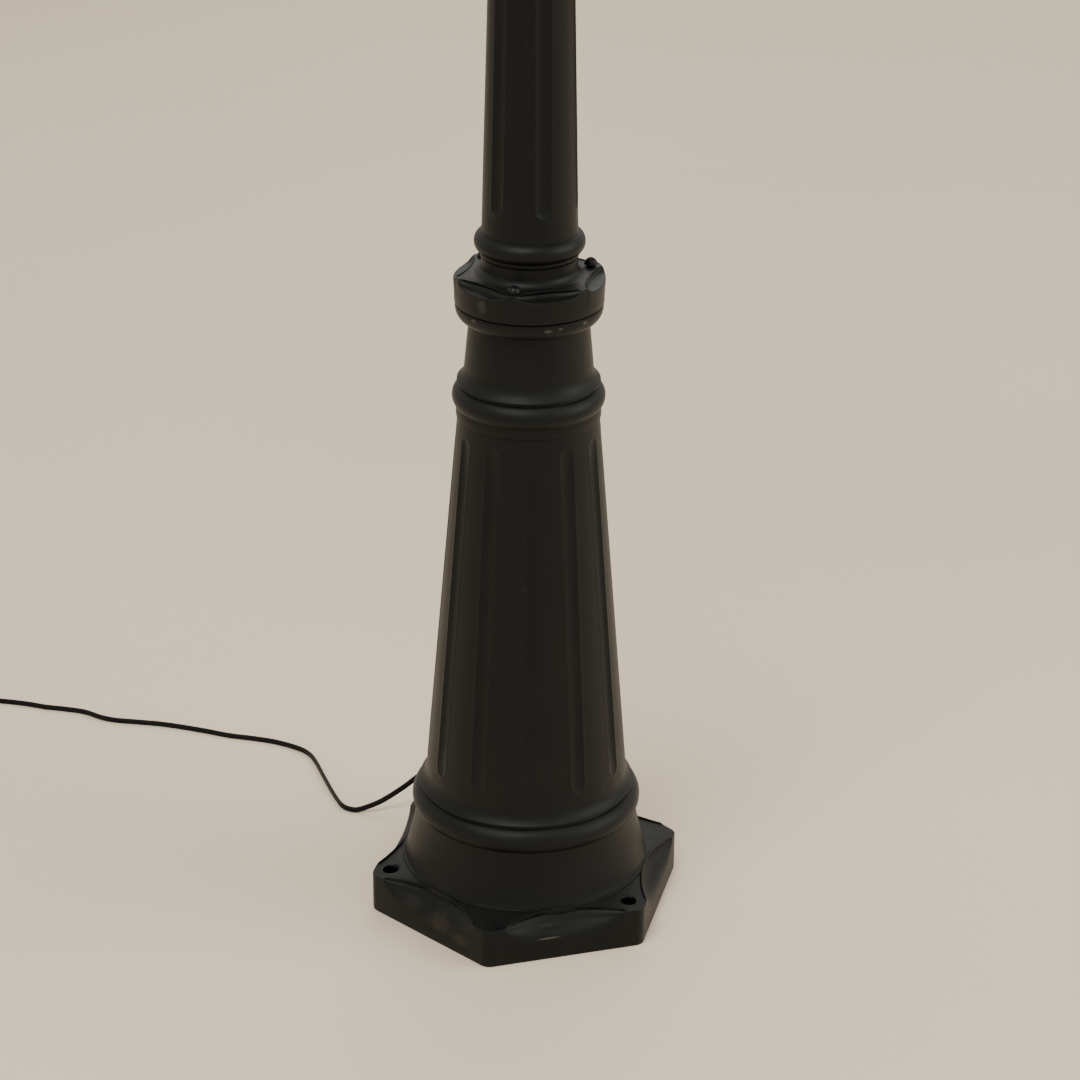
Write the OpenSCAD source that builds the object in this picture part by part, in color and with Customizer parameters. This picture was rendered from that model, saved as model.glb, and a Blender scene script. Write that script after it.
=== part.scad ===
// Street clock: a two-faced drum clock on a fluted post of cast metal.
// The origin is the centre of the base's underside, +Z is up and the front dial faces -Y.
// All sizes are in millimetres.

/* [Base plate] */
// Distance from the axis to each sharp corner of the hexagonal plate
plate_corner_r = 145; // [140:1:180]
// Height of the plate at its corners
plate_h = 36; // [28:1:45]
// Rise of the plate's top from its corners to the foot
land_rise = 5; // [2:1:8]
// Radius of the plate's upright corners
plate_corner_round = 11; // [6:1:16]
// Depth that each side's cove cuts into the plate, and its height
cove_depth = 14; // [9:1:16]
// Length of plate left between two coves, along each side from a corner
cove_corner_land = 15; // [12:1:24]
// Radius of the three anchor holes
anchor_hole_r = 7; // [5:0.5:9]
// Distance from an anchor hole's centre to its corner
anchor_edge = 18; // [16:1:24]

/* [Pedestal] */
// Gap in plan between a side's middle and the foot
foot_margin = 15.8; // [15:0.2:24]
// Height of the foot above the plate
foot_h = 47; // [36:1:60]
// How far the foot draws in to its waist
foot_taper = 10.2; // [6:0.2:16]
// Radius of the lower bead's section
low_bead_tube = 13; // [10:0.5:15]
// Radius of the cove above the lower bead
low_cove_r = 16; // [14:0.5:19]
// Height of the fluted cone
cone_h = 340; // [260:5:460]
// Radius of the cone at its top
cone_top_r = 61.3; // [58:0.1:75]
// Radius of the upper bead's section
up_bead_tube = 11.5; // [9:0.5:13]
// Height of the plain neck above the upper bead
neck_h = 39.5; // [30:0.5:60]
// Height of the neck's rounded lip
lip_h = 16.5; // [14:0.5:20]
// Thickness of the pedestal's wall
wall = 9; // [6:0.5:11]
// Number of flutes round the pedestal
pedestal_flutes = 12; // [6:1:12]

/* [Flutes] */
// Width of a flute at the surface
flute_w = 13; // [9:0.5:15]
// Depth of a flute
flute_depth = 2.5; // [1.5:0.1:3.2]

/* [Column] */
// Height of the collar's band
band_h = 21; // [18:1:30]
// Radius of the column above its bead
column_low_r = 40.5; // [38:0.5:46]
// Radius of the column's turned top
column_top_r = 24.8; // [22:0.2:32]
// Height of the column's taper
column_h = 633; // [450:5:900]
// Thickness of the column's wall
column_wall = 5.6; // [4:0.2:7]
// Radius of the bead's section at the foot of the column
column_bead_tube = 9.5; // [7:0.5:11]
// Number of flutes round the column
column_flutes = 6; // [3:1:6]
// Length of the spigot that drops into the pedestal
spigot_h = 28; // [18:1:36]

/* [Capital] */
// Height of the socket that takes the column's top
socket_h = 24; // [18:1:34]
// Height of the capital above the column
capital_h = 62; // [50:1:90]
// Radius of the capital's top disc
abacus_r = 48; // [44:1:60]

/* [Clock head] */
// Height of the neck below the drum
head_neck_h = 38; // [30:1:70]
// Outer radius of the drum
drum_r = 200; // [165:5:260]
// Half of the drum's depth
drum_half = 70; // [70:1:96]
// Thickness of the drum's rolled band
drum_wall = 6; // [4:0.5:8]
// Thickness of each dial
dial_t = 4; // [3:0.5:6]
// Thickness of each glass
glass_t = 4; // [3:0.5:6]
// Depth of each bezel in front of the drum
bezel_depth = 22; // [20:1:32]
// Height of the finial
finial_h = 98; // [60:1:150]

/* [Movement] */
// Module of the first gear pair
first_module = 1; // [0.96:0.02:1.1]
// Radius of the minute arbor
arbor_r = 2; // [1.8:0.1:2.4]
// Outer radius of the hour pipe
pipe_r = 4.5; // [4.2:0.1:5]

/* [Cord] */
// Height of the flat cord, which stands on its edge
cord_w = 5.4; // [5:0.1:6]
// Thickness of the flat cord
cord_t = 3; // [2.6:0.1:3.4]
// Height of the gland's axis above the floor
gland_z = 76; // [70:1:80]

/* [Hidden] */
FACE_PIECES = ["bezel", "glass", "glass_bead", "bezel_knob", "hinge_pin", "dial", "dial_screws",
    "minute_hand", "hour_hand", "hand_nut", "minute_arbor", "hour_pipe", "minute_wheel",
    "wheel_stud", "movement_case", "movement_screws", "motor", "led_panel"];

$fn = 72;
fit = 0.05;        // running clearance of a shaft in its bore
seat = 0.2;        // clearance of a piece that drops into another
over = 1;          // how far a cutter runs past what it cuts
iron = [0.13, 0.13, 0.12];
steel = [0.55, 0.55, 0.56];
brass = [0.72, 0.58, 0.28];
black_plastic = [0.08, 0.08, 0.08];
ink = [0.05, 0.05, 0.05];

// Heights of the post, from the floor up
z_land = plate_h + land_rise;
z_waist = z_land + foot_h;
z_cone0 = z_waist + 2 * low_bead_tube + low_cove_r;
z_cone1 = z_cone0 + cone_h;
z_neck0 = z_cone1 + 2 * up_bead_tube + 24;
z_neck1 = z_neck0 + neck_h;
z_rim = z_neck1 + lip_h;
collar_rise = 5;
z_collar = z_rim + band_h + collar_rise;
z_column0 = z_collar + 43;
z_column1 = z_column0 + column_h;
z_straight = z_column1 + socket_h;
z_capital = z_straight + capital_h;
z_clock = z_capital + head_neck_h + drum_r;
z_finial = z_clock + drum_r + 12;

// Radii of the post
apothem = plate_corner_r * cos(30);
foot_r = apothem - foot_margin;
waist_r = foot_r - foot_taper;
low_bead_out = 3.1;
low_bead_r = waist_r + low_bead_out - low_bead_tube;
cone_low_r = waist_r - 9.8;
up_bead_out = 4.6;
up_bead_r = cone_top_r + up_bead_out - up_bead_tube;
neck_low_r = cone_top_r - 6.1;
neck_top_r = neck_low_r - 3.7;
lip_r = neck_top_r + 11.6;
lip_round = lip_h - 3;
collar_r = lip_r + 0.65;
collar_neck_r = column_low_r + 0.5;
column_bead_r = column_low_r - 2.9;
spigot_r = neck_top_r - wall + 0.8;
column_bore_r = column_top_r - column_wall;

// Fasteners
collar_screw_r = 3;
collar_screw_head_r = 5.8;
collar_screw_head_h = 4.5;
collar_screw_ring = collar_r - 9.75;
bolt_r = 3;
small_screw_r = 2;
tiny_screw_r = 1.5;
head_bolt_ring = abacus_r - 11;

// Gland in the rear of the foot
gland_stem_r = 6;
gland_flange_r = 10;
gland_flange_t = 5;
gland_boss_r = 13;
gland_face = foot_r - 0.8;
gland_inner = waist_r - 17;
relief_h = 30;
exit_y = gland_face + gland_flange_t + relief_h;

// Terminal bracket across the pedestal
bracket_z = z_cone0 + 160;
bracket_t = 4;
bracket_w = 30;
lug_h = 10;
lug_reach = 12;
cable_y = -8;
cable_r = 3.5;
block_h = 30;
lead_route = [
    [0, gland_inner, gland_z], [0, gland_inner - 8, gland_z], [0, gland_inner - 22, gland_z + 9],
    [0, gland_inner - 33, gland_z + 34], [0, gland_inner - 40, bracket_z - 90], [0, 32, bracket_z - 30],
    [0, 28, bracket_z], [0, 24, bracket_z + 11], [0, cable_y + 22, bracket_z + 15],
    [0, cable_y + 14, bracket_z + 15]];

// Clock head: distances in front of the drum's middle
chassis_half = 2;
ledge_front = drum_half - 14;
ledge_t = 4;
ledge_w = 20;
drum_bore_r = drum_r - drum_wall;
dial_r = drum_bore_r - 4;
dial_screw_ring = dial_r - 8;
chassis_end = drum_bore_r - 8;
chassis_screw_x = drum_bore_r - 14;
chassis_screw_z = 14;
bezel_r = drum_r + 6;
bezel_open_r = drum_r - 20;
glass_r = drum_r - 12;
glass_back = drum_half + bezel_depth - 8 - glass_t;
hour_hand_back = ledge_front + dial_t + 4;
hour_hand_t = 2;
minute_hand_back = hour_hand_back + 6;
minute_hand_t = 1.6;
hinge_r = 5;
hinge_pin_r = 2.5;
hinge_x = bezel_r + 6;
hinge_y = drum_half + 4;
knuckle_h = 20;
knuckle_len = knuckle_h - 0.8;

// Movement: the two pairs of gears turn the hour pipe once in twelve turns of the arbor
pinion_teeth = 12;
minute_wheel_teeth = 36;
hour_wheel_teeth = 48;
second_module = first_module * (pinion_teeth + minute_wheel_teeth) / (pinion_teeth + hour_wheel_teeth);
wheel_drop = first_module * (pinion_teeth + minute_wheel_teeth) / 2;
case_half_w = 32;
case_top = 30;
case_low = wheel_drop + minute_wheel_teeth * first_module / 2 + 8;
case_t = 2.5;
case_front = ledge_front - 8;
motor_r = 22;
motor_front = 24;
motor_boss_h = 3;
wheel_back = 30;
minute_time = 60;    // degrees that the minute hand stands past twelve
hour_time = 305;     // degrees that the hour hand stands past twelve

// Cord: the route of its middle, from the strain relief to the coil
cord_z = cord_w / 2;
cord_route = [
    [0, exit_y, gland_z], [0, exit_y + 7, gland_z], [-4, exit_y + 17, 74], [-14, exit_y + 26, 67],
    [-32, 170, 53], [-47, 170, 42], [-62, 170, 31], [-74, 170, 23], [-93, 171, 12], [-108, 173, 6],
    [-118, 176, cord_z], [-125, 181, cord_z], [-129, 189, cord_z], [-131, 205, cord_z],
    [-132, 222, cord_z], [-133, 251, cord_z], [-134, 282, cord_z], [-137, 299, cord_z],
    [-145, 313, cord_z], [-163, 331, cord_z], [-184, 345, cord_z], [-205, 357, cord_z],
    [-229, 375, cord_z], [-262, 397, cord_z], [-288, 410, cord_z], [-309, 420, cord_z],
    [-322, 430, cord_z], [-336, 446, cord_z], [-355, 458, cord_z], [-372, 467, cord_z],
    [-391, 480, cord_z], [-415, 493, cord_z], [-435, 503, cord_z], [-455, 513, cord_z]];
coil_middle = [-470, 482];
coil_turns = 3;
coil_out_r = 34.5 + cord_t / 2;
coil_in_r = 34.5 - coil_turns * cord_t - cord_t / 2;
coil_h = 2 * cord_w;
plug_h = 13.7;
plug_x = -508;
plug_y = 516.5;
tail_route = [
    [-470, plug_y, 1.5 * cord_w], [-478, plug_y, 1.5 * cord_w], [-486, plug_y, 7.6],
    [-494, plug_y, 7], [plug_x + 8, plug_y, plug_h / 2], [plug_x, plug_y, plug_h / 2]];

// Points of an arc in the XY plane, from one angle to another
function arc(cx, cy, r, from, to, steps = 8) =
    [for (i = [0:steps]) let (a = from + (to - from) * i / steps) [cx + r * cos(a), cy + r * sin(a)]];

// Outline of a polygon with n rounded corners, the first corner on +X
function rounded_ngon(n, r, round, steps = 6) =
    let (inset = round / cos(180 / n))
    [for (i = [0:n - 1], k = [0:steps])
        let (a = 360 * i / n, b = a - 180 / n + 360 / n * k / steps)
        [(r - inset) * cos(a) + round * cos(b), (r - inset) * sin(a) + round * sin(b)]];

// Outline of a gear with straight-sided teeth, the first tooth on +X
function gear_outline(teeth, size) =
    let (pitch = 360 / teeth, rp = teeth * size / 2, ra = rp + 0.8 * size, rf = rp - 1.25 * size)
    [for (i = [0:teeth - 1],
          k = [[rf, -0.25], [rp, -0.2], [ra, -0.075], [ra, 0.075], [rp, 0.2], [rf, 0.25]])
        let (a = (i + k[1]) * pitch) [k[0] * cos(a), k[0] * sin(a)]];

// Direction of a route at one of its points
function heading(route, i) =
    let (a = route[max(i - 1, 0)], b = route[min(i + 1, len(route) - 1)], d = b - a) d / norm(d);

// Ring of the flat cord's section round a point of a route, with its long way up
function cord_ring(route, i, sides) =
    let (h = heading(route, i), flat = cross([0, 0, 1], h), side = flat / norm(flat), up = cross(h, side))
    [for (k = [0:sides - 1]) let (a = 360 * (k + 0.5) / sides)
        route[i] + side * (cord_t / 2 * cos(a)) + up * (cord_w / 2 * sin(a))];

// Ring of a round cable's section round a point of a route in the YZ plane
function cable_ring(route, i, r, sides) =
    let (h = heading(route, i), side = [1, 0, 0], up = cross(h, side))
    [for (k = [0:sides - 1]) let (a = 360 * (k + 0.5) / sides)
        route[i] + side * (r * cos(a)) + up * (r * sin(a))];

// Closed tube through a list of rings
module skin(rings) {
    n = len(rings[0]);
    last = (len(rings) - 1) * n;
    polyhedron(
        points = [for (ring = rings, p = ring) p],
        faces = concat(
            [[for (k = [0:n - 1]) k]],
            [for (i = [0:len(rings) - 2], k = [0:n - 1])
                let (a = i * n + k, b = i * n + (k + 1) % n) [a, a + n, b + n, b]],
            [[for (k = [n - 1:-1:0]) last + k]]));
}

module at_angles(count, first = 0) {
    for (i = [0:count - 1]) rotate([0, 0, first + i * 360 / count]) children();
}

// Turns a shape drawn along +Z so that it runs towards -Y, with its +Y up
module face_forward() { rotate([90, 0, 0]) children(); }

// Flat disc or tube in front of the drum's middle, from one distance to another
module forward_tube(back, front, r, bore = 0) {
    translate([0, -back, z_clock]) face_forward() difference() {
        cylinder(h = front - back, r = r);
        if (bore > 0) translate([0, 0, -over]) cylinder(h = front - back + 2 * over, r = bore);
    }
}

module for_side(side) { rotate([0, 0, side == "rear" ? 180 : 0]) children(); }

// Cutter of one flute that runs up a cone's side, with round ends
module flute(low_r, low_z, top_r, top_z) {
    r = (pow(flute_w / 2, 2) + pow(flute_depth, 2)) / (2 * flute_depth);
    length = norm([low_r - top_r, top_z - low_z]);
    slope = atan((low_r - top_r) / (top_z - low_z));
    translate([low_r + r - flute_depth, 0, low_z]) rotate([0, -slope, 0]) rotate_extrude()
        polygon(concat([[0, -r]], arc(0, 0, r, -75, 0, 4), arc(0, length, r, 0, 75, 4), [[0, length + r]]));
}

module plate_blank() {
    intersection() {
        linear_extrude(z_land) polygon(rounded_ngon(6, plate_corner_r, plate_corner_round));
        rotate_extrude() polygon([
            [0, 0], [plate_corner_r + over, 0], [plate_corner_r + over, plate_h],
            [plate_corner_r, plate_h], [foot_r + 1, z_land], [0, z_land]]);
    }
}

// Cutter of the cove along one side of the plate
module plate_cove() {
    half_chord = plate_corner_r / 2 - cove_corner_land;
    ring = (pow(half_chord, 2) + pow(cove_depth, 2)) / (2 * cove_depth) - cove_depth;
    translate([apothem + ring, 0, z_land - 2]) rotate_extrude() translate([ring, 0]) circle(cove_depth);
}

function foot_profile() = concat(
    [[foot_r + 2.2, z_land - 3], [foot_r + 2.2, z_land - 0.6], [foot_r + 0.6, z_land + 0.6]],
    [for (i = [0:6]) let (u = i / 6)
        [foot_r - foot_taper * (1 - pow(1 - u, 1.4)), z_land + 1.5 + (foot_h - 1.5) * u]]);

function pedestal_profile() = concat(
    [[0, z_land - 6]], foot_profile(),
    arc(low_bead_r, z_waist + low_bead_tube, low_bead_tube, -42, 66, 10),
    arc(cone_low_r + low_cove_r, z_cone0, low_cove_r, 226, 180, 6),
    [[cone_top_r, z_cone1], [cone_top_r + 1.2, z_cone1 + 1], [cone_top_r + 1.2, z_cone1 + 6]],
    arc(up_bead_r, z_cone1 + up_bead_tube + 7, up_bead_tube, -48, 60, 10),
    arc(neck_low_r + 18, z_neck0, 18, 224, 180, 6),
    [[neck_top_r, z_neck1]],
    arc(neck_top_r + 11.6 - lip_round, z_rim - 3, lip_round, -78, 0, 8),
    [[lip_r, z_rim], [0, z_rim]]);

module pedestal_bore() {
    rotate_extrude() polygon([[0, -over], [foot_r - 16, -over], [waist_r - 14, z_waist],
        [cone_low_r - wall, z_cone0], [cone_top_r - wall, z_cone1], [spigot_r + seat, z_neck0],
        [spigot_r + seat, z_rim + over], [0, z_rim + over]]);
}

function cone_r(z) = cone_low_r + (cone_top_r - cone_low_r) * (z - z_cone0) / cone_h;

module pedestal() {
    flute_low = z_cone0 + 17;
    flute_top = z_cone1 - 17;
    color(iron) {
        difference() {
            union() {
                difference() {
                    plate_blank();
                    at_angles(6, 30) plate_cove();
                }
                rotate_extrude() polygon(pedestal_profile());
                translate([0, waist_r - 12, gland_z]) rotate([-90, 0, 0])
                    cylinder(h = gland_face - waist_r + 12, r = gland_boss_r);
            }
            pedestal_bore();
            at_angles(pedestal_flutes, 15)
                flute(cone_r(flute_low), flute_low, cone_r(flute_top), flute_top);
            at_angles(3, 60) translate([plate_corner_r - anchor_edge, 0, -over])
                cylinder(h = z_land + 2 * over, r = anchor_hole_r);
            translate([0, 0, gland_z]) rotate([-90, 0, 0])
                cylinder(h = foot_r + over, r = gland_stem_r + seat);
            at_angles(3, 0) translate([collar_screw_ring, 0, z_rim - lip_h + 5])
                cylinder(h = lip_h, r = collar_screw_r + fit);
        }
        at_angles(2) bracket_lug();
    }
}

module bracket_lug() {
    inner_r = cone_r(bracket_z) - wall;
    difference() {
        translate([inner_r - lug_reach, -bracket_w / 2 + 4, bracket_z])
            cube([lug_reach + 3, bracket_w - 8, lug_h]);
        translate([inner_r - lug_reach / 2, 0, bracket_z - over])
            cylinder(h = lug_h + 2 * over, r = small_screw_r + fit);
    }
}

// Cutter of the cove between two corners of the collar
module collar_cove() {
    r = 12;
    reach = 150;
    translate([reach, 0, z_rim + band_h + r]) rotate_extrude()
        translate([reach - collar_r + 1.7, 0]) circle(r);
}

function column_profile() = concat(
    [[spigot_r - 5, z_rim - spigot_h], [spigot_r, z_rim - spigot_h + 3], [spigot_r, z_rim],
     [collar_r - 0.7, z_rim], [collar_r, z_rim + 0.7], [collar_r, z_collar]],
    arc(collar_neck_r + 7, z_collar + 7, 7, 270, 180, 5),
    [[collar_neck_r, z_collar + 15], [column_low_r + 1.6, z_collar + 17.5]],
    arc(column_bead_r, z_collar + 28, column_bead_tube, -62, 70, 9),
    [[column_low_r + 0.2, z_column0 - 2], [column_low_r, z_column0], [column_top_r, z_column1],
     [column_top_r, z_straight], [column_bore_r, z_straight], [column_bore_r, z_column1 - 20],
     [column_low_r - column_wall, z_column0], [spigot_r - 7, z_collar - 8],
     [spigot_r - 7, z_rim - spigot_h]]);

function column_r(z) = column_low_r + (column_top_r - column_low_r) * (z - z_column0) / column_h;

module column() {
    flute_low = z_column0 + 23;
    flute_top = z_column1 - 26;
    color(iron) difference() {
        rotate_extrude() polygon(column_profile());
        at_angles(6, 30) collar_cove();
        at_angles(column_flutes, 30)
            flute(column_r(flute_low), flute_low, column_r(flute_top), flute_top);
        at_angles(3, 0) translate([collar_screw_ring, 0, z_rim - over])
            cylinder(h = z_collar - z_rim + 2 * over, r = collar_screw_r + seat);
    }
}

// Cross-head screw with its head on top, from the underside of its head
module cross_screw(shank_r, shank_h, head_r, head_h) {
    difference() {
        union() {
            translate([0, 0, -shank_h]) cylinder(h = shank_h + over, r = shank_r);
            rotate_extrude() polygon(concat([[0, 0], [head_r, 0]],
                [for (p = arc(0, 0, 1, 15, 75, 4)) [p[0] * head_r, p[1] * head_h]], [[0, head_h]]));
        }
        for (a = [0, 90]) rotate([0, 0, a]) translate([-head_r * 0.6, -head_r * 0.12, head_h * 0.45])
            cube([head_r * 1.2, head_r * 0.24, head_h]);
    }
}

module collar_screws() {
    color(ink) at_angles(3, 0) translate([collar_screw_ring, 0, z_collar])
        cross_screw(collar_screw_r, z_collar - z_rim + lip_h - 7, collar_screw_head_r, collar_screw_head_h);
}

module capital() {
    skirt_r = column_top_r + 7;
    low = z_straight - socket_h + 2;
    bore = column_bore_r - 5;
    color(iron) difference() {
        rotate_extrude() polygon(concat(
            [[column_top_r + seat, low], [skirt_r, low], [skirt_r, z_straight - 8]],
            arc(skirt_r - 2, z_straight, 8, -80, 80, 8),
            [[skirt_r - 1, z_straight + 9]],
            arc(abacus_r, z_straight + 16, abacus_r - skirt_r + 1, 180, 100, 8),
            [[abacus_r, z_straight + 34], [abacus_r, z_capital], [bore, z_capital],
             [bore, z_straight], [column_top_r + seat, z_straight]]));
        at_angles(3, 30) translate([0, 0, z_straight - socket_h / 2 - 2]) rotate([0, 90, 0])
            cylinder(h = skirt_r + over, r = small_screw_r + fit);
        at_angles(3, 90) translate([head_bolt_ring, 0, z_capital - 16])
            cylinder(h = 20, r = bolt_r + fit);
    }
}

module capital_set_screws() {
    color(steel) at_angles(3, 30) translate([column_top_r + 0.1, 0, z_straight - socket_h / 2 - 2])
        rotate([0, 90, 0]) difference() {
            cylinder(h = 6.5, r = small_screw_r);
            translate([0, 0, 4]) cylinder(h = 4, r = 1, $fn = 6);
        }
}

module head_bolts() {
    color(steel) at_angles(3, 90) translate([head_bolt_ring, 0, z_capital]) {
        translate([0, 0, -14]) cylinder(h = 23, r = bolt_r);
        translate([0, 0, 8]) cylinder(h = 4, r = 5.5, $fn = 6);
    }
}

// Drum outline that is turned about the clock's axis, as [radius, distance in front of the middle]
function drum_profile() = concat(
    [[drum_bore_r, -drum_half], [drum_r + 4, -drum_half], [drum_r + 4, 10 - drum_half],
     [drum_r, 14 - drum_half], [drum_r, drum_half - 14], [drum_r + 4, drum_half - 10],
     [drum_r + 4, drum_half], [drum_bore_r, drum_half]],
    [for (p = [[0, 0], [ledge_w, 0], [ledge_w, -ledge_t], [0, -ledge_t]])
        [drum_bore_r - p[0], ledge_front + p[1]]],
    [for (p = [[0, ledge_t], [ledge_w, ledge_t], [ledge_w, 0], [0, 0]])
        [drum_bore_r - p[0], -ledge_front + p[1]]]);

module drum_case() {
    neck_r = abacus_r - 22;
    bore = column_bore_r - 5;
    low = z_clock - drum_r;
    color(iron) difference() {
        union() {
            translate([0, 0, z_clock]) face_forward() rotate_extrude() polygon(drum_profile());
            difference() {
                union() {
                    translate([0, 0, z_capital]) cylinder(h = 8, r = abacus_r - 4);
                    translate([0, 0, z_capital]) cylinder(h = low - z_capital + 12, r = neck_r);
                    translate([0, 0, z_finial - 15]) cylinder(h = 15, r = 20);
                }
                translate([0, 0, z_clock]) face_forward() translate([0, 0, -drum_half])
                    cylinder(h = 2 * drum_half, r = drum_bore_r + 0.5);
            }
            for (s = [-1, 1]) chassis_lug(s);
            for (side = ["front", "rear"]) for_side(side) drum_knuckles();
        }
        translate([0, 0, z_capital - over]) cylinder(h = low - z_capital + 40, r = bore);
        translate([0, 0, z_clock + drum_bore_r - 20]) cylinder(h = 50, r = 5 + fit);
        at_angles(3, 90) translate([head_bolt_ring, 0, z_capital - over])
            cylinder(h = 10, r = bolt_r + seat);
        chassis_screw_places() translate([0, 0, -12]) cylinder(h = 12, r = small_screw_r + fit);
        for (side = ["front", "rear"]) for_side(side) dial_screw_places()
            cylinder(h = 12, r = tiny_screw_r + fit);
    }
}

// Places of the chassis's four screws, drawn from the drum's middle towards the front
module chassis_screw_places() {
    for (s = [-1, 1], t = [-1, 1])
        translate([s * chassis_screw_x, 0, z_clock + t * chassis_screw_z]) face_forward() children();
}

module chassis_lug(s) {
    translate([s * (drum_bore_r - 10), chassis_half + 6, z_clock]) cube([24, 12, 52], center = true);
}

// Two knuckles of the drum that hold a bezel's hinge pin, with the webs behind them
module drum_knuckles() {
    for (s = [-1, 1]) translate([-hinge_x, 0, z_clock + s * knuckle_h]) difference() {
        union() {
            translate([0, -hinge_y, 0]) cylinder(h = knuckle_len, r = hinge_r, center = true);
            translate([0, -drum_half + 0.5, -knuckle_len / 2]) cube([hinge_x - drum_r + 4, 9, knuckle_len]);
        }
        translate([0, -hinge_y, -knuckle_h]) cylinder(h = 2 * knuckle_h, r = hinge_pin_r + fit);
    }
}

module finial() {
    color(iron) translate([0, 0, z_finial]) {
        translate([0, 0, -16]) cylinder(h = 17, r = 5);
        rotate_extrude() polygon(concat(
            [[0, 0], [18, 0], [18, 5], [10, 8], [10, 14]],
            arc(0, 14 + 20, 20, -58, 68, 12),
            [[5.5, 56], [8, 59], [8, 62], [5, 66], [0, finial_h]]));
    }
}

module chassis_plate() {
    tongue_h = 150;
    color(steel) difference() {
        union() {
            translate([-chassis_end, -chassis_half, z_clock - 42])
                cube([2 * chassis_end, 2 * chassis_half, 84]);
            translate([-34, -chassis_half, z_clock - tongue_h]) cube([68, 2 * chassis_half, tongue_h]);
        }
        chassis_screw_places() translate([0, 0, -chassis_half - over])
            cylinder(h = 2 * chassis_half + 2 * over, r = small_screw_r + seat);
        for (side = ["front", "rear"]) for_side(side) movement_screw_places()
            translate([0, 0, -over]) cylinder(h = 2 + over, r = tiny_screw_r + fit);
    }
}

module chassis_screws() {
    color(steel) chassis_screw_places() translate([0, 0, chassis_half])
        cross_screw(small_screw_r, 12, 4, 3);
}

module driver_box() {
    color(black_plastic) translate([-27, -chassis_half - 19, z_clock - 145]) cube([54, 19, 72]);
}

module riser_cable() {
    low = bracket_z + block_h;
    color([0.85, 0.85, 0.83]) translate([0, cable_y, low]) cylinder(h = z_clock - 145 - low, r = cable_r);
}

module terminal_bracket() {
    inner_r = cone_r(bracket_z) - wall;
    color(steel) difference() {
        translate([-inner_r + 3, -bracket_w / 2, bracket_z - bracket_t])
            cube([2 * inner_r - 6, bracket_w, bracket_t]);
        at_angles(2) translate([inner_r - lug_reach / 2, 0, bracket_z - bracket_t - over])
            cylinder(h = bracket_t + 2 * over, r = small_screw_r + seat);
    }
}

module bracket_screws() {
    inner_r = cone_r(bracket_z) - wall;
    color(steel) at_angles(2) translate([inner_r - lug_reach / 2, 0, bracket_z - bracket_t])
        rotate([180, 0, 0]) cross_screw(small_screw_r, lug_h + bracket_t - 1, 4, 3);
}

module terminal_block() {
    color([0.9, 0.88, 0.8]) difference() {
        translate([-24, cable_y - 8, bracket_z]) cube([48, 22, block_h]);
        for (i = [-1, 0, 1]) translate([i * 15, cable_y - 8 - over, bracket_z + block_h * 0.6])
            rotate([-90, 0, 0]) cylinder(h = 6, r = 3);
    }
}

module inner_lead() {
    color(black_plastic)
        skin([for (i = [0:len(lead_route) - 1]) cable_ring(lead_route, i, cord_w / 2, 8)]);
}

module cord_gland() {
    color(black_plastic) translate([0, 0, gland_z]) rotate([-90, 0, 0]) {
        translate([0, 0, gland_inner]) cylinder(h = gland_face - gland_inner + over, r = gland_stem_r);
        translate([0, 0, gland_face]) cylinder(h = gland_flange_t, r = gland_flange_r, $fn = 6);
        translate([0, 0, gland_inner]) cylinder(h = 2.4, r = gland_flange_r - 1, $fn = 6);
    }
}

module strain_relief() {
    color(black_plastic) translate([0, gland_face + gland_flange_t, gland_z]) rotate([-90, 0, 0])
        cylinder(h = relief_h, r1 = 6.2, r2 = 3.9);
}

module cord_tube() {
    color(black_plastic) skin([for (i = [0:len(cord_route) - 1]) cord_ring(cord_route, i, 8)]);
}

module cord_coil() {
    color(black_plastic) translate(coil_middle) rotate_extrude()
        translate([coil_in_r, 0]) square([coil_out_r - coil_in_r, coil_h]);
}

module cord_tail() {
    color(black_plastic) skin([for (i = [0:len(tail_route) - 1]) cord_ring(tail_route, i, 8)]);
}

// Flat two-pin plug, lying with its pins pointing away from the coil
module plug() {
    body_l = 35;
    color(black_plastic) translate([plug_x, plug_y, 0]) mirror([1, 0, 0]) {
        linear_extrude(plug_h) polygon([[0, -5], [12, -7], [20, -13], [body_l - 3, -13], [body_l, -10],
            [body_l, 10], [body_l - 3, 13], [20, 13], [12, 7], [0, 5]]);
        for (s = [-1, 1]) translate([body_l - over, s * 9.3, plug_h / 2]) rotate([0, 90, 0])
            cylinder(h = 19 + over, r = 2);
    }
}

// Bezel outline that is turned about the clock's axis, as [radius, distance in front of the middle]
function bezel_profile() = concat(
    [[bezel_open_r, glass_back + glass_t], [glass_r + seat, glass_back + glass_t],
     [glass_r + seat, drum_half], [bezel_r, drum_half], [bezel_r, drum_half + bezel_depth - 12]],
    arc(bezel_r - 12, drum_half + bezel_depth - 12, 12, 8, 82, 8),
    [[bezel_open_r + 8, drum_half + bezel_depth], [bezel_open_r, drum_half + bezel_depth - 5]]);

module bezel() {
    color(iron) difference() {
        union() {
            translate([0, 0, z_clock]) face_forward() rotate_extrude() polygon(bezel_profile());
            translate([-hinge_x, -hinge_y, z_clock]) cylinder(h = knuckle_len, r = hinge_r, center = true);
            translate([-hinge_x, -hinge_y - hinge_r, z_clock - knuckle_len / 2])
                cube([hinge_x - bezel_r + 4, hinge_r + 3, knuckle_len]);
        }
        translate([-hinge_x, -hinge_y, z_clock - knuckle_h])
            cylinder(h = 2 * knuckle_h, r = hinge_pin_r + fit);
    }
}

module glass() { color([0.8, 0.9, 0.95, 0.3]) forward_tube(glass_back, glass_back + glass_t, glass_r); }

module glass_bead() {
    color(black_plastic) forward_tube(glass_back - 4, glass_back, glass_r, glass_r - 9);
}

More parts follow.
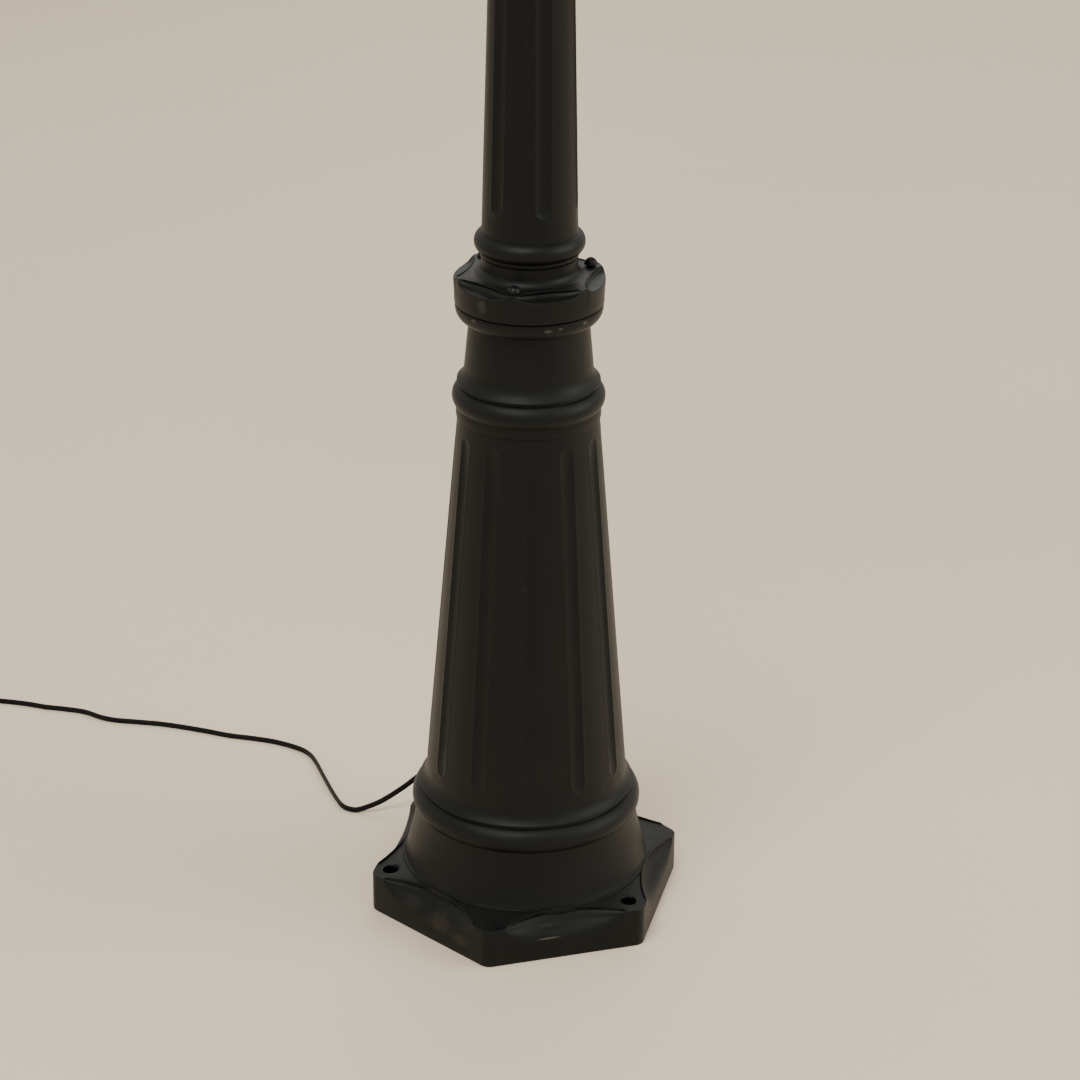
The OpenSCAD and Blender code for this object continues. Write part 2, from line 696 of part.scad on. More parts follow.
module bezel_knob() {
    color(brass) translate([drum_r - 5, -(drum_half + bezel_depth), z_clock]) face_forward()
        rotate_extrude()
            polygon(concat([[0, 0], [3, 0], [3, 4]], arc(0, 10, 6.5, -60, 80, 8), [[0, 16.5]]));
}

module hinge_pin() {
    length = 3 * knuckle_h;
    color(steel) translate([-hinge_x, -hinge_y, z_clock - length / 2]) {
        cylinder(h = length, r = hinge_pin_r);
        translate([0, 0, length - 0.4]) cylinder(h = 2.5, r = 4);
    }
}

module dial() {
    color([0.96, 0.95, 0.9]) difference() {
        forward_tube(ledge_front, ledge_front + dial_t, dial_r, pipe_r + 3.5);
        dial_screw_places() translate([0, 0, -over]) cylinder(h = 12, r = tiny_screw_r + seat);
    }
}

// Places of a dial's four screws, drawn from behind its ledge towards the front
module dial_screw_places() {
    for (a = [45:90:315])
        translate([dial_screw_ring * cos(a), -(ledge_front - 5), z_clock + dial_screw_ring * sin(a)])
            face_forward() children();
}

module dial_screws() {
    color(steel) dial_screw_places() translate([0, 0, 5 + dial_t])
        cross_screw(tiny_screw_r, dial_t + 4, 3.2, 1.8);
}

// Flat hand that points at twelve: a tail, a tapered blade and a spade
module hand_outline(length, width, tail) {
    spade = width * 1.7;
    polygon(concat(
        [[-width * 0.45, 0], [-width * 0.3, -tail * 0.6], [-width * 0.6, -tail], [width * 0.6, -tail],
         [width * 0.3, -tail * 0.6], [width * 0.45, 0], [width * 0.3, length * 0.72]],
        arc(0, length * 0.78, spade / 2, -50, 60, 6),
        [[0, length]],
        arc(0, length * 0.78, spade / 2, 120, 230, 6),
        [[-width * 0.3, length * 0.72]]));
}

module minute_hand() {
    color(ink) translate([0, 0, z_clock]) rotate([0, minute_time, 0]) face_forward() difference() {
        union() {
            translate([0, 0, minute_hand_back]) linear_extrude(minute_hand_t)
                hand_outline(drum_r * 0.78, 9, 42);
            translate([0, 0, minute_hand_back - 1]) cylinder(h = 4.6, r = 7);
        }
        translate([0, 0, minute_hand_back - 2]) cylinder(h = 8, r = arbor_r + fit);
    }
}

module hour_hand() {
    color(ink) translate([0, 0, z_clock]) rotate([0, hour_time, 0]) face_forward() difference() {
        union() {
            translate([0, 0, hour_hand_back]) linear_extrude(hour_hand_t)
                hand_outline(drum_r * 0.52, 13, 30);
            translate([0, 0, hour_hand_back - 2]) cylinder(h = 6, r = 9.5);
        }
        translate([0, 0, hour_hand_back - 3]) cylinder(h = 9, r = pipe_r + fit);
    }
}

module hand_nut() {
    color(brass) translate([0, -(minute_hand_back + 3.6), z_clock]) face_forward() difference() {
        cylinder(h = 3.2, r = 4.6, $fn = 6);
        translate([0, 0, -over]) cylinder(h = 6, r = arbor_r + fit);
    }
}

module minute_arbor() {
    tip = minute_hand_back + 8;
    tail = motor_front - 10;
    color(steel) translate([0, 0, z_clock]) face_forward() {
        translate([0, 0, tail]) cylinder(h = tip - tail, r = arbor_r);
        translate([0, 0, wheel_back - 1]) rotate([0, 0, 90])
            linear_extrude(5) polygon(gear_outline(pinion_teeth, first_module));
    }
}

module hour_pipe() {
    wheel = wheel_back + 6;
    color(brass) translate([0, 0, z_clock]) face_forward() difference() {
        union() {
            translate([0, 0, wheel]) cylinder(h = hour_hand_back + hour_hand_t + 2.6 - wheel, r = pipe_r);
            translate([0, 0, wheel]) rotate([0, 0, 90 + 180 / hour_wheel_teeth])
                linear_extrude(3) polygon(gear_outline(hour_wheel_teeth, second_module));
        }
        translate([0, 0, wheel - over]) cylinder(h = hour_hand_back, r = arbor_r + 2 * fit);
    }
}

module minute_wheel() {
    color(brass) translate([0, 0, z_clock - wheel_drop]) face_forward() difference() {
        union() {
            translate([0, 0, wheel_back]) rotate([0, 0, 90 + 180 / minute_wheel_teeth])
                linear_extrude(3) polygon(gear_outline(minute_wheel_teeth, first_module));
            translate([0, 0, wheel_back + 2.5]) rotate([0, 0, 90])
                linear_extrude(7.5) polygon(gear_outline(pinion_teeth, second_module));
        }
        translate([0, 0, wheel_back - over]) cylinder(h = 14, r = arbor_r + fit);
    }
}

module wheel_stud() {
    color(steel) translate([0, 0, z_clock - wheel_drop]) face_forward() {
        translate([0, 0, wheel_back - 2]) cylinder(h = case_front - case_t - wheel_back + 1, r = arbor_r);
        translate([0, 0, wheel_back - 2]) cylinder(h = 1.6, r = 3.4);
    }
}

module movement_case() {
    color([0.2, 0.2, 0.22]) difference() {
        union() {
            difference() {
                translate([-case_half_w, -case_front, z_clock - case_low])
                    cube([2 * case_half_w, case_front - chassis_half, case_low + case_top]);
                translate([-case_half_w + case_t, -case_front + case_t, z_clock - case_low + case_t])
                    cube([2 * (case_half_w - case_t), case_front, case_low + case_top - 2 * case_t]);
            }
            forward_tube(case_front - 6, case_front + 2, pipe_r + 3);
            translate([0, 0, -wheel_drop]) forward_tube(wheel_back + 10.5, case_front - over, 4.5);
            for (s = [0, 1]) mirror([s, 0, 0])
                translate([case_half_w - over, -chassis_half - 3, z_clock - 42]) cube([10 + over, 3, 70]);
        }
        forward_tube(case_front - 8, case_front + 4, pipe_r + fit);
        translate([0, 0, -wheel_drop]) forward_tube(wheel_back + 9, case_front - case_t, arbor_r + fit);
        movement_screw_places() cylinder(h = 12, r = tiny_screw_r + seat);
    }
}

// Places of the four screws that hold a movement, drawn from inside the chassis towards the front
module movement_screw_places() {
    for (s = [-1, 1], z = [-36, 22])
        translate([s * (case_half_w + 5), -0.5, z_clock + z]) face_forward() children();
}

module movement_screws() {
    color(steel) movement_screw_places() translate([0, 0, chassis_half + 2.5])
        cross_screw(tiny_screw_r, 4.4, 3, 1.8);
}

module motor() {
    color([0.75, 0.75, 0.76]) difference() {
        union() {
            forward_tube(chassis_half, motor_front, motor_r);
            forward_tube(motor_front - over, motor_front + motor_boss_h, 7);
        }
        forward_tube(motor_front - 11, motor_front + 6, arbor_r + fit);
    }
}

// Board of lamps on each half of the chassis, one row of domes on each
module led_panel() {
    length = chassis_end - 90;
    middle = case_half_w + 22 + length / 2;
    color([0.93, 0.93, 0.9]) for (s = [-1, 1]) translate([s * middle, -chassis_half, z_clock]) {
        translate([-length / 2, -1.6, -32]) cube([length, 1.6, 64]);
        for (x = [-length / 2 + 12:24:length / 2 - 12], z = [-20, 0, 20])
            translate([x, -1.5, z]) face_forward() cylinder(h = 2.2, r = 3.5);
    }
}

pedestal();
column();
collar_screws();
capital();
capital_set_screws();
head_bolts();
drum_case();
finial();
chassis_plate();
chassis_screws();
driver_box();
riser_cable();
terminal_bracket();
bracket_screws();
terminal_block();
inner_lead();
cord_gland();
strain_relief();
cord_tube();
cord_coil();
cord_tail();
plug();
for (side = ["front", "rear"]) for_side(side) {
    bezel();
    glass();
    glass_bead();
    bezel_knob();
    hinge_pin();
    dial();
    dial_screws();
    minute_hand();
    hour_hand();
    hand_nut();
    minute_arbor();
    hour_pipe();
    minute_wheel();
    wheel_stud();
    movement_case();
    movement_screws();
    motor();
    led_panel();
}
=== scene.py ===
"""Street clock: the looks of a two-faced drum clock on a fluted post of cast metal.

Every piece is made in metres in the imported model's own frame. The origin is the centre of the
base's underside, +Z is up and the front dial faces -Y. Sizes are named in millimetres.
"""

import logging
import math
from dataclasses import dataclass, field
from enum import Enum
from typing import Callable, Iterable, Optional, Sequence

import bmesh
import bpy
from mathutils import Matrix, Vector


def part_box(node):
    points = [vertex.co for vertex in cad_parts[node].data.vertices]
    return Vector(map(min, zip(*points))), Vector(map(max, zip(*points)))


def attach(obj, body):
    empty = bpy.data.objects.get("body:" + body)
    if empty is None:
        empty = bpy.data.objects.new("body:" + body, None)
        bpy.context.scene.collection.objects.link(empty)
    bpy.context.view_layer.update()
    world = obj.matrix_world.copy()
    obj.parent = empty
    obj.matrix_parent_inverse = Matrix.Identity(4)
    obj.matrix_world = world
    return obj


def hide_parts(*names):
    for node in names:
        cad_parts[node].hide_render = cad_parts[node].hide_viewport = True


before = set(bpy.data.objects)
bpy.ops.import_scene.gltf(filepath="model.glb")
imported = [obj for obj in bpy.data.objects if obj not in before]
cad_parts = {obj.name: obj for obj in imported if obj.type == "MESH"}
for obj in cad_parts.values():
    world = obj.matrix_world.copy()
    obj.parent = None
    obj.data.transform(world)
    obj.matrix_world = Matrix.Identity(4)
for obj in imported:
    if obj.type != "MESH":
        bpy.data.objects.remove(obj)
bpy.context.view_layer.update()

MM = 0.001
TURN = 2 * math.pi
CREASE = math.radians(34)
POST = "post"
log = logging.getLogger("street_clock")

Point = tuple[float, float]
Corner = tuple[float, float, float]


class Side(Enum):
    """The two sides of the clock, each with its own dial, bezel and hands."""

    FRONT = "front"
    REAR = "rear"

    def node(self, piece: str) -> str:
        """The name of one of this side's CAD nodes."""
        return f"{self.value}_{piece}"

    def turn(self) -> Matrix:
        """The turn about the post that brings a front piece to this side."""
        return Matrix.Rotation(0.0 if self is Side.FRONT else math.pi, 4, "Z")


class Shade(Enum):
    """The sRGB colours of the clock's finishes."""

    COAT = "#08090a"
    COAT_DUSTY = "#1c1c18"
    COAT_RUBBED = "#3f372a"
    COAT_CHIP = "#6b665c"
    ZINC = "#b9bcc0"
    BRASS = "#b8913f"
    OPAL = "#f1eee2"
    GLASS = "#f4faf8"
    ABS_BLACK = "#161617"
    ABS_GREY = "#3b3c40"
    NYLON = "#ddd5bd"
    PVC_BLACK = "#050505"
    PVC_WHITE = "#d6d6d1"
    RUBBER = "#131312"
    PRINT = "#0d0d0e"
    BOARD = "#e4e6e1"
    OPAL_PAINTED_SHADE = "#f0ead9"
    # painted shade: a darker copy of the opal, mixed into the dial as random patches
    GLASS_SMEAR = "#e6ece8"
    GREY_WORN = "#4a4b4f"
    NYLON_AGED = "#d2c8aa"
    WHITE_AGED = "#c9c8be"
    BOARD_TINGED = "#d8dbcf"
    FLOOR = "#ebdcc5"
    # painted shade: a darker copy of the floor colour, mixed in as clouds
    FLOOR_PAINTED_SHADE = "#e1d3bd"


def linear(shade: Shade) -> tuple[float, float, float, float]:
    """Turns one sRGB hex colour into the linear colour that a shader takes.

    Args:
        shade: The colour.

    Returns:
        Red, green, blue and alpha.
    """
    parts = [int(shade.value[i:i + 2], 16) / 255 for i in (1, 3, 5)]
    red, green, blue = [c / 12.92 if c <= 0.04045 else ((c + 0.055) / 1.055) ** 2.4 for c in parts]
    return red, green, blue, 1.0


# ---------------------------------------------------------------- finishes


def add_node(tree: bpy.types.NodeTree, kind: str, links: Optional[dict] = None,
             values: Optional[dict] = None, **settings) -> bpy.types.Node:
    """Adds one node to a material.

    Args:
        tree: The material's node tree.
        kind: Blender's name for the node, without its ShaderNode prefix.
        links: Input socket to the output socket that feeds it.
        values: Input socket to its constant.
        settings: The node's own properties.

    Returns:
        The new node.
    """
    node = tree.nodes.new("ShaderNode" + kind)
    for name, value in settings.items():
        setattr(node, name, value)
    for socket, value in (values or {}).items():
        node.inputs[socket].default_value = value
    for socket, source in (links or {}).items():
        tree.links.new(source, node.inputs[socket])
    return node


@dataclass(frozen=True)
class Finish:
    """A plain finish: one shader with a fine grain in its colour, gloss and surface.

    Attributes:
        name: The material's name.
        slot: The record's material slot, which says what the piece is made of; it is not used.
        shade: Its colour.
        mottle: The colour that its grain leans to, which on the opal dial is a painted shade.
        roughness: Its middle roughness.
        metallic: 1 for bare metal.
        ior: Its index of refraction, which a metal leaves as it is.
        grain_mm: The size of its grain.
        relief_mm: The height of its grain.
        specular: The strength of its surface reflection, 0.5 for a clean one.
    """

    name: str
    slot: str
    shade: Shade
    mottle: Shade
    roughness: float = 0.5
    metallic: float = 0.0
    ior: float = 1.5
    grain_mm: float = 1.0
    relief_mm: float = 0.01
    specular: float = 0.5

    def material(self) -> bpy.types.Material:
        """Builds the material once, and gives the same one after that.

        Returns:
            The material.
        """
        known = bpy.data.materials.get(self.name)
        if known:
            return known
        made = bpy.data.materials.new(self.name)
        made.use_nodes = True
        tree = made.node_tree
        tree.nodes.clear()
        place = add_node(tree, "TexCoord").outputs["Object"]
        shader = add_node(tree, "BsdfPrincipled", values={
            "Metallic": self.metallic, "IOR": self.ior, "Base Color": linear(self.shade),
            "Roughness": self.roughness, "Specular IOR Level": self.specular})
        self.dress(tree, place, shader)
        add_node(tree, "OutputMaterial", links={"Surface": shader.outputs["BSDF"]})
        return made

    def dress(self, tree: bpy.types.NodeTree, place: bpy.types.NodeSocket,
              shader: bpy.types.Node) -> None:
        """Links the grain to the shader.

        Args:
            tree: The material's node tree.
            place: The object coordinates.
            shader: The Principled shader.
        """
        grain = add_node(tree, "TexNoise", links={"Vector": place}, values={
            "Scale": 1 / (self.grain_mm * MM), "Detail": 3.0}).outputs["Fac"]
        patches = add_node(tree, "TexNoise", links={"Vector": place}, values={
            "Scale": 1 / (30 * self.grain_mm * MM), "Detail": 2.0}).outputs["Fac"]
        colour = add_node(tree, "MixRGB", links={"Fac": patches}, values={
            "Color1": linear(self.shade), "Color2": linear(self.mottle)})
        gloss = add_node(tree, "MapRange", links={"Value": patches}, values={
            "To Min": self.roughness - 0.06, "To Max": self.roughness + 0.06})
        bump = add_node(tree, "Bump", links={"Height": grain}, values={
            "Strength": 1.0, "Distance": self.relief_mm * MM})
        tree.links.new(colour.outputs["Color"], shader.inputs["Base Color"])
        tree.links.new(gloss.outputs["Result"], shader.inputs["Roughness"])
        tree.links.new(bump.outputs["Normal"], shader.inputs["Normal"])


@dataclass(frozen=True)
class Mark:
    """A worn place on the powder coat, with its middle and half sizes in millimetres."""

    middle: tuple[float, float, float]
    reach: tuple[float, float, float]
    strength: float = 1.0


@dataclass(frozen=True)
class PowderCoat(Finish):
    """Polyester powder coat, sprayed and baked on a sand casting.

    It is satin, with a fine orange peel over the casting's own soft waves. Dust greys what faces
    up, and handling has rubbed and chipped it in places.

    Attributes:
        peel_mm: The spacing of the orange peel, about twice as coarse as it is so that it shows.
        wave_mm: The spacing of the casting's waves.
        chip_mm: The spacing of the stray chips, each under a tenth of that across.
        tint: The tint of its reflections, which keeps it from going brown in a warm room.
        chips: The marks where the pale undercoat shows.
        rubs: The marks where the coat is rubbed brown.
    """

    peel_mm: float = 2.2
    wave_mm: float = 26.0
    chip_mm: float = 42.0
    tint: tuple[float, float, float, float] = (0.92, 0.98, 0.96, 1.0)
    chips: tuple[Mark, ...] = ()
    rubs: tuple[Mark, ...] = ()

    def dress(self, tree: bpy.types.NodeTree, place: bpy.types.NodeSocket,
              shader: bpy.types.Node) -> None:
        """Layers peel, waves, dust, rubs and chips on the coat.

        Args:
            tree: The material's node tree.
            place: The object coordinates.
            shader: The Principled shader.
        """
        shader.inputs["Specular Tint"].default_value = self.tint
        peel = add_node(tree, "TexNoise", links={"Vector": place}, values={
            "Scale": 1 / (self.peel_mm * MM), "Detail": 2.0, "Roughness": 0.6}).outputs["Fac"]
        wave = add_node(tree, "TexNoise", links={"Vector": place}, values={
            "Scale": 1 / (self.wave_mm * MM), "Detail": 3.0}).outputs["Fac"]
        blotch = add_node(tree, "TexNoise", links={"Vector": place}, values={
            "Scale": 1 / (3 * self.wave_mm * MM), "Detail": 5.0, "Roughness": 0.65}).outputs["Fac"]
        facing = add_node(tree, "NewGeometry").outputs["Normal"]
        upward = add_node(tree, "SeparateXYZ", links={"Vector": facing}).outputs["Z"]
        settled = add_node(tree, "MapRange", links={"Value": upward}, values={
            "From Min": 0.2, "From Max": 1.0, "To Max": 0.75})
        streaks = add_node(tree, "MapRange", links={"Value": blotch}, values={
            "From Min": 0.35, "From Max": 0.7})
        dust = add_node(tree, "Math", operation="MULTIPLY", links={
            0: settled.outputs["Result"], 1: streaks.outputs["Result"]}).outputs[0]
        film = add_node(tree, "MapRange", links={"Value": blotch}, values={
            "From Min": 0.45, "From Max": 0.75, "To Max": 0.22}).outputs["Result"]
        veil = add_node(tree, "Math", operation="MAXIMUM", links={0: dust, 1: film}).outputs[0]
        colour = add_node(tree, "MixRGB", links={"Fac": veil}, values={
            "Color1": linear(self.shade), "Color2": linear(self.mottle)}).outputs["Color"]
        rub = self._marks(tree, place, self.rubs, 5.0)
        if rub:
            colour = add_node(tree, "MixRGB", links={"Fac": rub, "Color1": colour}, values={
                "Color2": linear(Shade.COAT_RUBBED)}).outputs["Color"]
        chip = self._stray_chips(tree, place)
        placed = self._marks(tree, place, self.chips, 2.0)
        if placed:
            chip = add_node(tree, "Math", operation="MAXIMUM",
                            links={0: chip, 1: placed}).outputs[0]
        colour = add_node(tree, "MixRGB", links={"Fac": chip, "Color1": colour}, values={
            "Color2": linear(Shade.COAT_CHIP)}).outputs["Color"]
        gloss = add_node(tree, "MapRange", links={"Value": veil}, values={
            "To Min": self.roughness, "To Max": self.roughness + 0.25})
        soft = add_node(tree, "Bump", links={"Height": wave}, values={
            "Strength": 0.5, "Distance": 0.35 * MM})
        fine = add_node(tree, "Bump", links={"Height": peel, "Normal": soft.outputs["Normal"]},
                        values={"Strength": 0.85, "Distance": self.relief_mm * MM})
        tree.links.new(colour, shader.inputs["Base Color"])
        tree.links.new(gloss.outputs["Result"], shader.inputs["Roughness"])
        tree.links.new(fine.outputs["Normal"], shader.inputs["Normal"])

    def _stray_chips(self, tree: bpy.types.NodeTree,
                     place: bpy.types.NodeSocket) -> bpy.types.NodeSocket:
        """A few tiny pale specks, scattered over the whole coat.

        Args:
            tree: The material's node tree.
            place: The object coordinates.

        Returns:
            The output that holds how strongly a speck shows.
        """
        cells = add_node(tree, "TexVoronoi", links={"Vector": place}, values={
            "Scale": 1 / (self.chip_mm * MM), "Randomness": 1.0}).outputs["Distance"]
        return add_node(tree, "MapRange", links={"Value": cells}, values={
            "From Min": 0.018, "From Max": 0.034, "To Min": 0.22, "To Max": 0.0}).outputs["Result"]

    def _marks(self, tree: bpy.types.NodeTree, place: bpy.types.NodeSocket,
               marks: Sequence[Mark], ragged_mm: float) -> Optional[bpy.types.NodeSocket]:
        """The strength of all the marks of one sort, broken up by noise.

        Args:
            tree: The material's node tree.
            place: The object coordinates.
            marks: The marks.
            ragged_mm: The size of the gaps in a mark.

        Returns:
            The output that holds it, or None where there are no marks.
        """
        total = None
        broken = add_node(tree, "TexNoise", links={"Vector": place}, values={
            "Scale": 1 / (ragged_mm * MM), "Detail": 4.0, "Roughness": 0.7}).outputs["Fac"]
        for mark in marks:
            shift = add_node(tree, "VectorMath", operation="SUBTRACT", links={0: place},
                             values={1: [c * MM for c in mark.middle]}).outputs[0]
            near = add_node(tree, "VectorMath", operation="DIVIDE", links={0: shift},
                            values={1: [c * MM for c in mark.reach]}).outputs[0]
            away = add_node(tree, "VectorMath", operation="LENGTH",
                            links={0: near}).outputs["Value"]
            ragged = add_node(tree, "Math", operation="MULTIPLY_ADD", links={0: broken, 2: away},
                              values={1: 1.6}).outputs[0]
            here = add_node(tree, "MapRange", links={"Value": ragged}, values={
                "From Min": 1.15, "From Max": 1.75, "To Min": mark.strength,
                "To Max": 0.0}).outputs["Result"]
            total = here if total is None else add_node(
                tree, "Math", operation="MAXIMUM", links={0: total, 1: here}).outputs[0]
        return total


@dataclass(frozen=True)
class Acrylic(Finish):
    """Opal cast acrylic, which glows a little where light enters it."""

    def dress(self, tree: bpy.types.NodeTree, place: bpy.types.NodeSocket,
              shader: bpy.types.Node) -> None:
        """Adds the glow under the surface to the plain grain.

        Args:
            tree: The material's node tree.
            place: The object coordinates.
            shader: The Principled shader.
        """
        super().dress(tree, place, shader)
        shader.inputs["Subsurface Weight"].default_value = 0.25
        shader.inputs["Subsurface Radius"].default_value = (0.004, 0.004, 0.003)


@dataclass(frozen=True)
class ClearGlass(Finish):
    """Float glass, clear and flat, with a faint smear on its face."""

    def dress(self, tree: bpy.types.NodeTree, place: bpy.types.NodeSocket,
              shader: bpy.types.Node) -> None:
        """Lets the light through and smears the gloss.

        Args:
            tree: The material's node tree.
            place: The object coordinates.
            shader: The Principled shader.
        """
        shader.inputs["Transmission Weight"].default_value = 1.0
        smear = add_node(tree, "TexNoise", links={"Vector": place}, values={
            "Scale": 1 / (60 * MM), "Detail": 4.0}).outputs["Fac"]
        colour = add_node(tree, "MixRGB", links={"Fac": smear}, values={
            "Color1": linear(self.shade), "Color2": linear(self.mottle)})
        gloss = add_node(tree, "MapRange", links={"Value": smear}, values={
            "From Min": 0.5, "To Min": self.roughness, "To Max": self.roughness + 0.05})
        tree.links.new(colour.outputs["Color"], shader.inputs["Base Color"])
        tree.links.new(gloss.outputs["Result"], shader.inputs["Roughness"])


CHIPS = (
    Mark((-52.0, -37.0, 586.0), (6.0, 6.0, 8.0), 0.14),
    Mark((-2.0, -63.0, 568.0), (4.5, 5.0, 2.2), 0.3),
    Mark((9.0, -62.0, 569.0), (2.6, 3.0, 1.8), 0.3),
    Mark((33.0, -53.0, 569.0), (3.6, 5.0, 2.2), 0.4),
    Mark((-56.0, -28.0, 570.0), (3.6, 4.0, 2.2), 0.25),
    Mark((-15.0, -125.5, 21.0), (15.0, 3.0, 1.1), 0.45),
    Mark((-10.0, -119.0, 30.0), (12.0, 5.0, 2.2), 0.12),
    Mark((-14.0, -39.0, 806.0), (1.6, 6.0, 16.0), 0.2),
    Mark((-30.0, -24.0, 812.0), (1.6, 5.0, 9.0), 0.16),
)
RUBS = (
    Mark((-102.0, -74.0, 23.0), (15.0, 16.0, 14.0), 0.3),
    Mark((-88.0, -98.0, 15.0), (13.0, 14.0, 8.0), 0.28),
    Mark((-120.0, -44.0, 26.0), (13.0, 14.0, 8.0), 0.18),
)
# Powder coat on cast iron is the thicker one: a satin skin with a soft orange peel.
COATED_IRON = PowderCoat("powder_coated_cast_iron", "black_iron", Shade.COAT, Shade.COAT_DUSTY,
                         roughness=0.45, relief_mm=0.13, specular=0.21, chips=CHIPS, rubs=RUBS)
# The same coat on the aluminium castings and the rolled drum lies smoother.
COATED_ALLOY = PowderCoat("powder_coated_aluminium", "black_alloy", Shade.COAT, Shade.COAT_DUSTY,
                          roughness=0.43, relief_mm=0.1, specular=0.21, chips=CHIPS)
# Black oxide on turned steel: thin, oily and glossier than the coat.
BLACKED = Finish("black_oxide_steel", "black_screw", Shade.PRINT, Shade.COAT, roughness=0.42,
                 grain_mm=0.6, specular=0.22)
# Zinc plate on steel: pale, with a faint milky cloud.
ZINCED = Finish("zinc_plated_steel", "zinc_steel", Shade.ZINC, Shade.ABS_GREY, roughness=0.34,
                metallic=1.0, grain_mm=1.2)
# Turned brass, lacquered.
TURNED_BRASS = Finish("turned_brass", "brass", Shade.BRASS, Shade.COAT_RUBBED, roughness=0.25,
                      metallic=1.0, grain_mm=0.5)
# Opal acrylic spreads the lamps' light evenly over the dial; its darker patches are painted shade,
# a shaded copy of the opal.
OPAL = Acrylic("opal_cast_acrylic", "opal_acrylic", Shade.OPAL, Shade.OPAL_PAINTED_SHADE,
               roughness=0.3, ior=1.49, grain_mm=3.0, relief_mm=0.003)
# Float glass shows the dial clearly, with a faint smear in its gloss.
FLOAT_GLASS = ClearGlass("clear_float_glass", "dial_glass", Shade.GLASS, Shade.GLASS_SMEAR,
                         roughness=0.01, ior=1.52)
# Spark-eroded mould faces leave an even matt grain on the ABS.
BLACK_ABS = Finish("moulded_black_abs", "black_plastic", Shade.ABS_BLACK, Shade.COAT,
                   roughness=0.5, ior=1.54, grain_mm=0.8, relief_mm=0.02)
# The same moulding in grey, worn a little paler.
GREY_ABS = Finish("moulded_grey_abs", "grey_plastic", Shade.ABS_GREY, Shade.GREY_WORN,
                  roughness=0.5, ior=1.54, grain_mm=0.8, relief_mm=0.02)
# Nylon of the terminals, unevenly yellowed.
CREAM_NYLON = Finish("moulded_nylon", "cream_plastic", Shade.NYLON, Shade.NYLON_AGED,
                     roughness=0.45, ior=1.53, grain_mm=1.0)
# Extruded PVC is smooth and slightly waxy.
BLACK_PVC = Finish("extruded_black_pvc", "black_flex", Shade.PVC_BLACK, Shade.COAT,
                   roughness=0.4, ior=1.53, grain_mm=1.5, relief_mm=0.01, specular=0.15)
# The riser cable's sheath, a little soiled.
WHITE_PVC = Finish("extruded_white_pvc", "white_cable", Shade.PVC_WHITE, Shade.WHITE_AGED,
                   roughness=0.4, ior=1.53, grain_mm=1.5)
# Matt rubber that swallows the light round the glass.
SEAL_RUBBER = Finish("extruded_epdm_rubber", "black_rubber", Shade.RUBBER, Shade.ABS_BLACK,
                     roughness=0.7, grain_mm=0.6, relief_mm=0.03)
# Satin black anodising on the cut sheet of the hands and numerals.
ANODISED = Finish("black_anodised_sheet", "black_hand", Shade.PRINT, Shade.ABS_BLACK,
                  roughness=0.35, grain_mm=0.6)
# White solder mask, which throws the lamps' light forward.
LAMP_BOARD = Finish("white_solder_mask", "white_board", Shade.BOARD, Shade.BOARD_TINGED,
                    roughness=0.4, grain_mm=1.0)


# ---------------------------------------------------------------- mesh tools

UNDERCUT_AT = 0.84  # the share of a cove's length where its wall runs back most
UNDERCUT_SPREAD = 0.1  # how wide that is, as a share of the same length
MERGE = 1e-6  # points closer than this are one, in metres


def arc(cx: float, cy: float, r: float, start: float, end: float, steps: int) -> list[Point]:
    """Points of an arc.

    Args:
        cx: Its middle's first coordinate.
        cy: Its middle's second coordinate.
        r: Its radius.
        start: The angle of its first point, in degrees.
        end: The angle of its last point, in degrees.
        steps: How many chords it has.

    Returns:
        The points, the first and last included.
    """
    angles = [math.radians(start + (end - start) * i / steps) for i in range(steps + 1)]
    return [(cx + r * math.cos(a), cy + r * math.sin(a)) for a in angles]


def eased(corners: Sequence[Corner], closed: bool = False) -> list[Point]:
    """Rounds the corners of an outline.

    Args:
        corners: Points with the radius of each one's rounding, 0 where it stays as it is.
        closed: Whether the last point joins the first.

    Returns:
        The outline's points, with three short chords at each rounded corner.
    """
    made: list[Point] = []
    last = len(corners) - 1
    for i, (x, y, ease) in enumerate(corners):
        here = Vector((x, y))
        if ease <= 0 or (not closed and i in (0, last)):
            made.append((x, y))
            continue
        before = Vector(corners[i - 1][:2]) - here
        after = Vector(corners[(i + 1) % len(corners)][:2]) - here
        start = here + before.normalized() * min(ease, 0.45 * before.length)
        end = here + after.normalized() * min(ease, 0.45 * after.length)
        for t in (0.0, 1 / 3, 2 / 3, 1.0):
            p = start * (1 - t) ** 2 + here * 2 * t * (1 - t) + end * t ** 2
            made.append((p.x, p.y))
    return made


def smooth_step(t: float) -> float:
    """0 below 0, 1 above 1 and a smooth climb between."""
    t = min(1.0, max(0.0, t))
    return t * t * (3 - 2 * t)


def spun(outline: Sequence[Point], steps: int, closed: bool = True) -> bmesh.types.BMesh:
    """Spins an outline about the Z axis.

    Args:
        outline: Points as radius and height, in millimetres.
        steps: How many steps the full turn has.
        closed: Whether the outline's last point joins its first.

    Returns:
        The closed shell, in metres.
    """
    bm = bmesh.new()
    verts = [bm.verts.new((r * MM, 0, z * MM)) for r, z in outline]
    pairs = list(zip(verts, verts[1:])) + ([(verts[-1], verts[0])] if closed else [])
    edges = [bm.edges.new(pair) for pair in pairs]
    bmesh.ops.spin(bm, geom=verts + edges, cent=(0, 0, 0), axis=(0, 0, 1), dvec=(0, 0, 0),
                   angle=TURN, steps=steps, use_merge=True, use_normal_flip=False,
                   use_duplicate=False)
    bmesh.ops.remove_doubles(bm, verts=bm.verts, dist=MERGE)
    bmesh.ops.recalc_face_normals(bm, faces=bm.faces)
    return bm


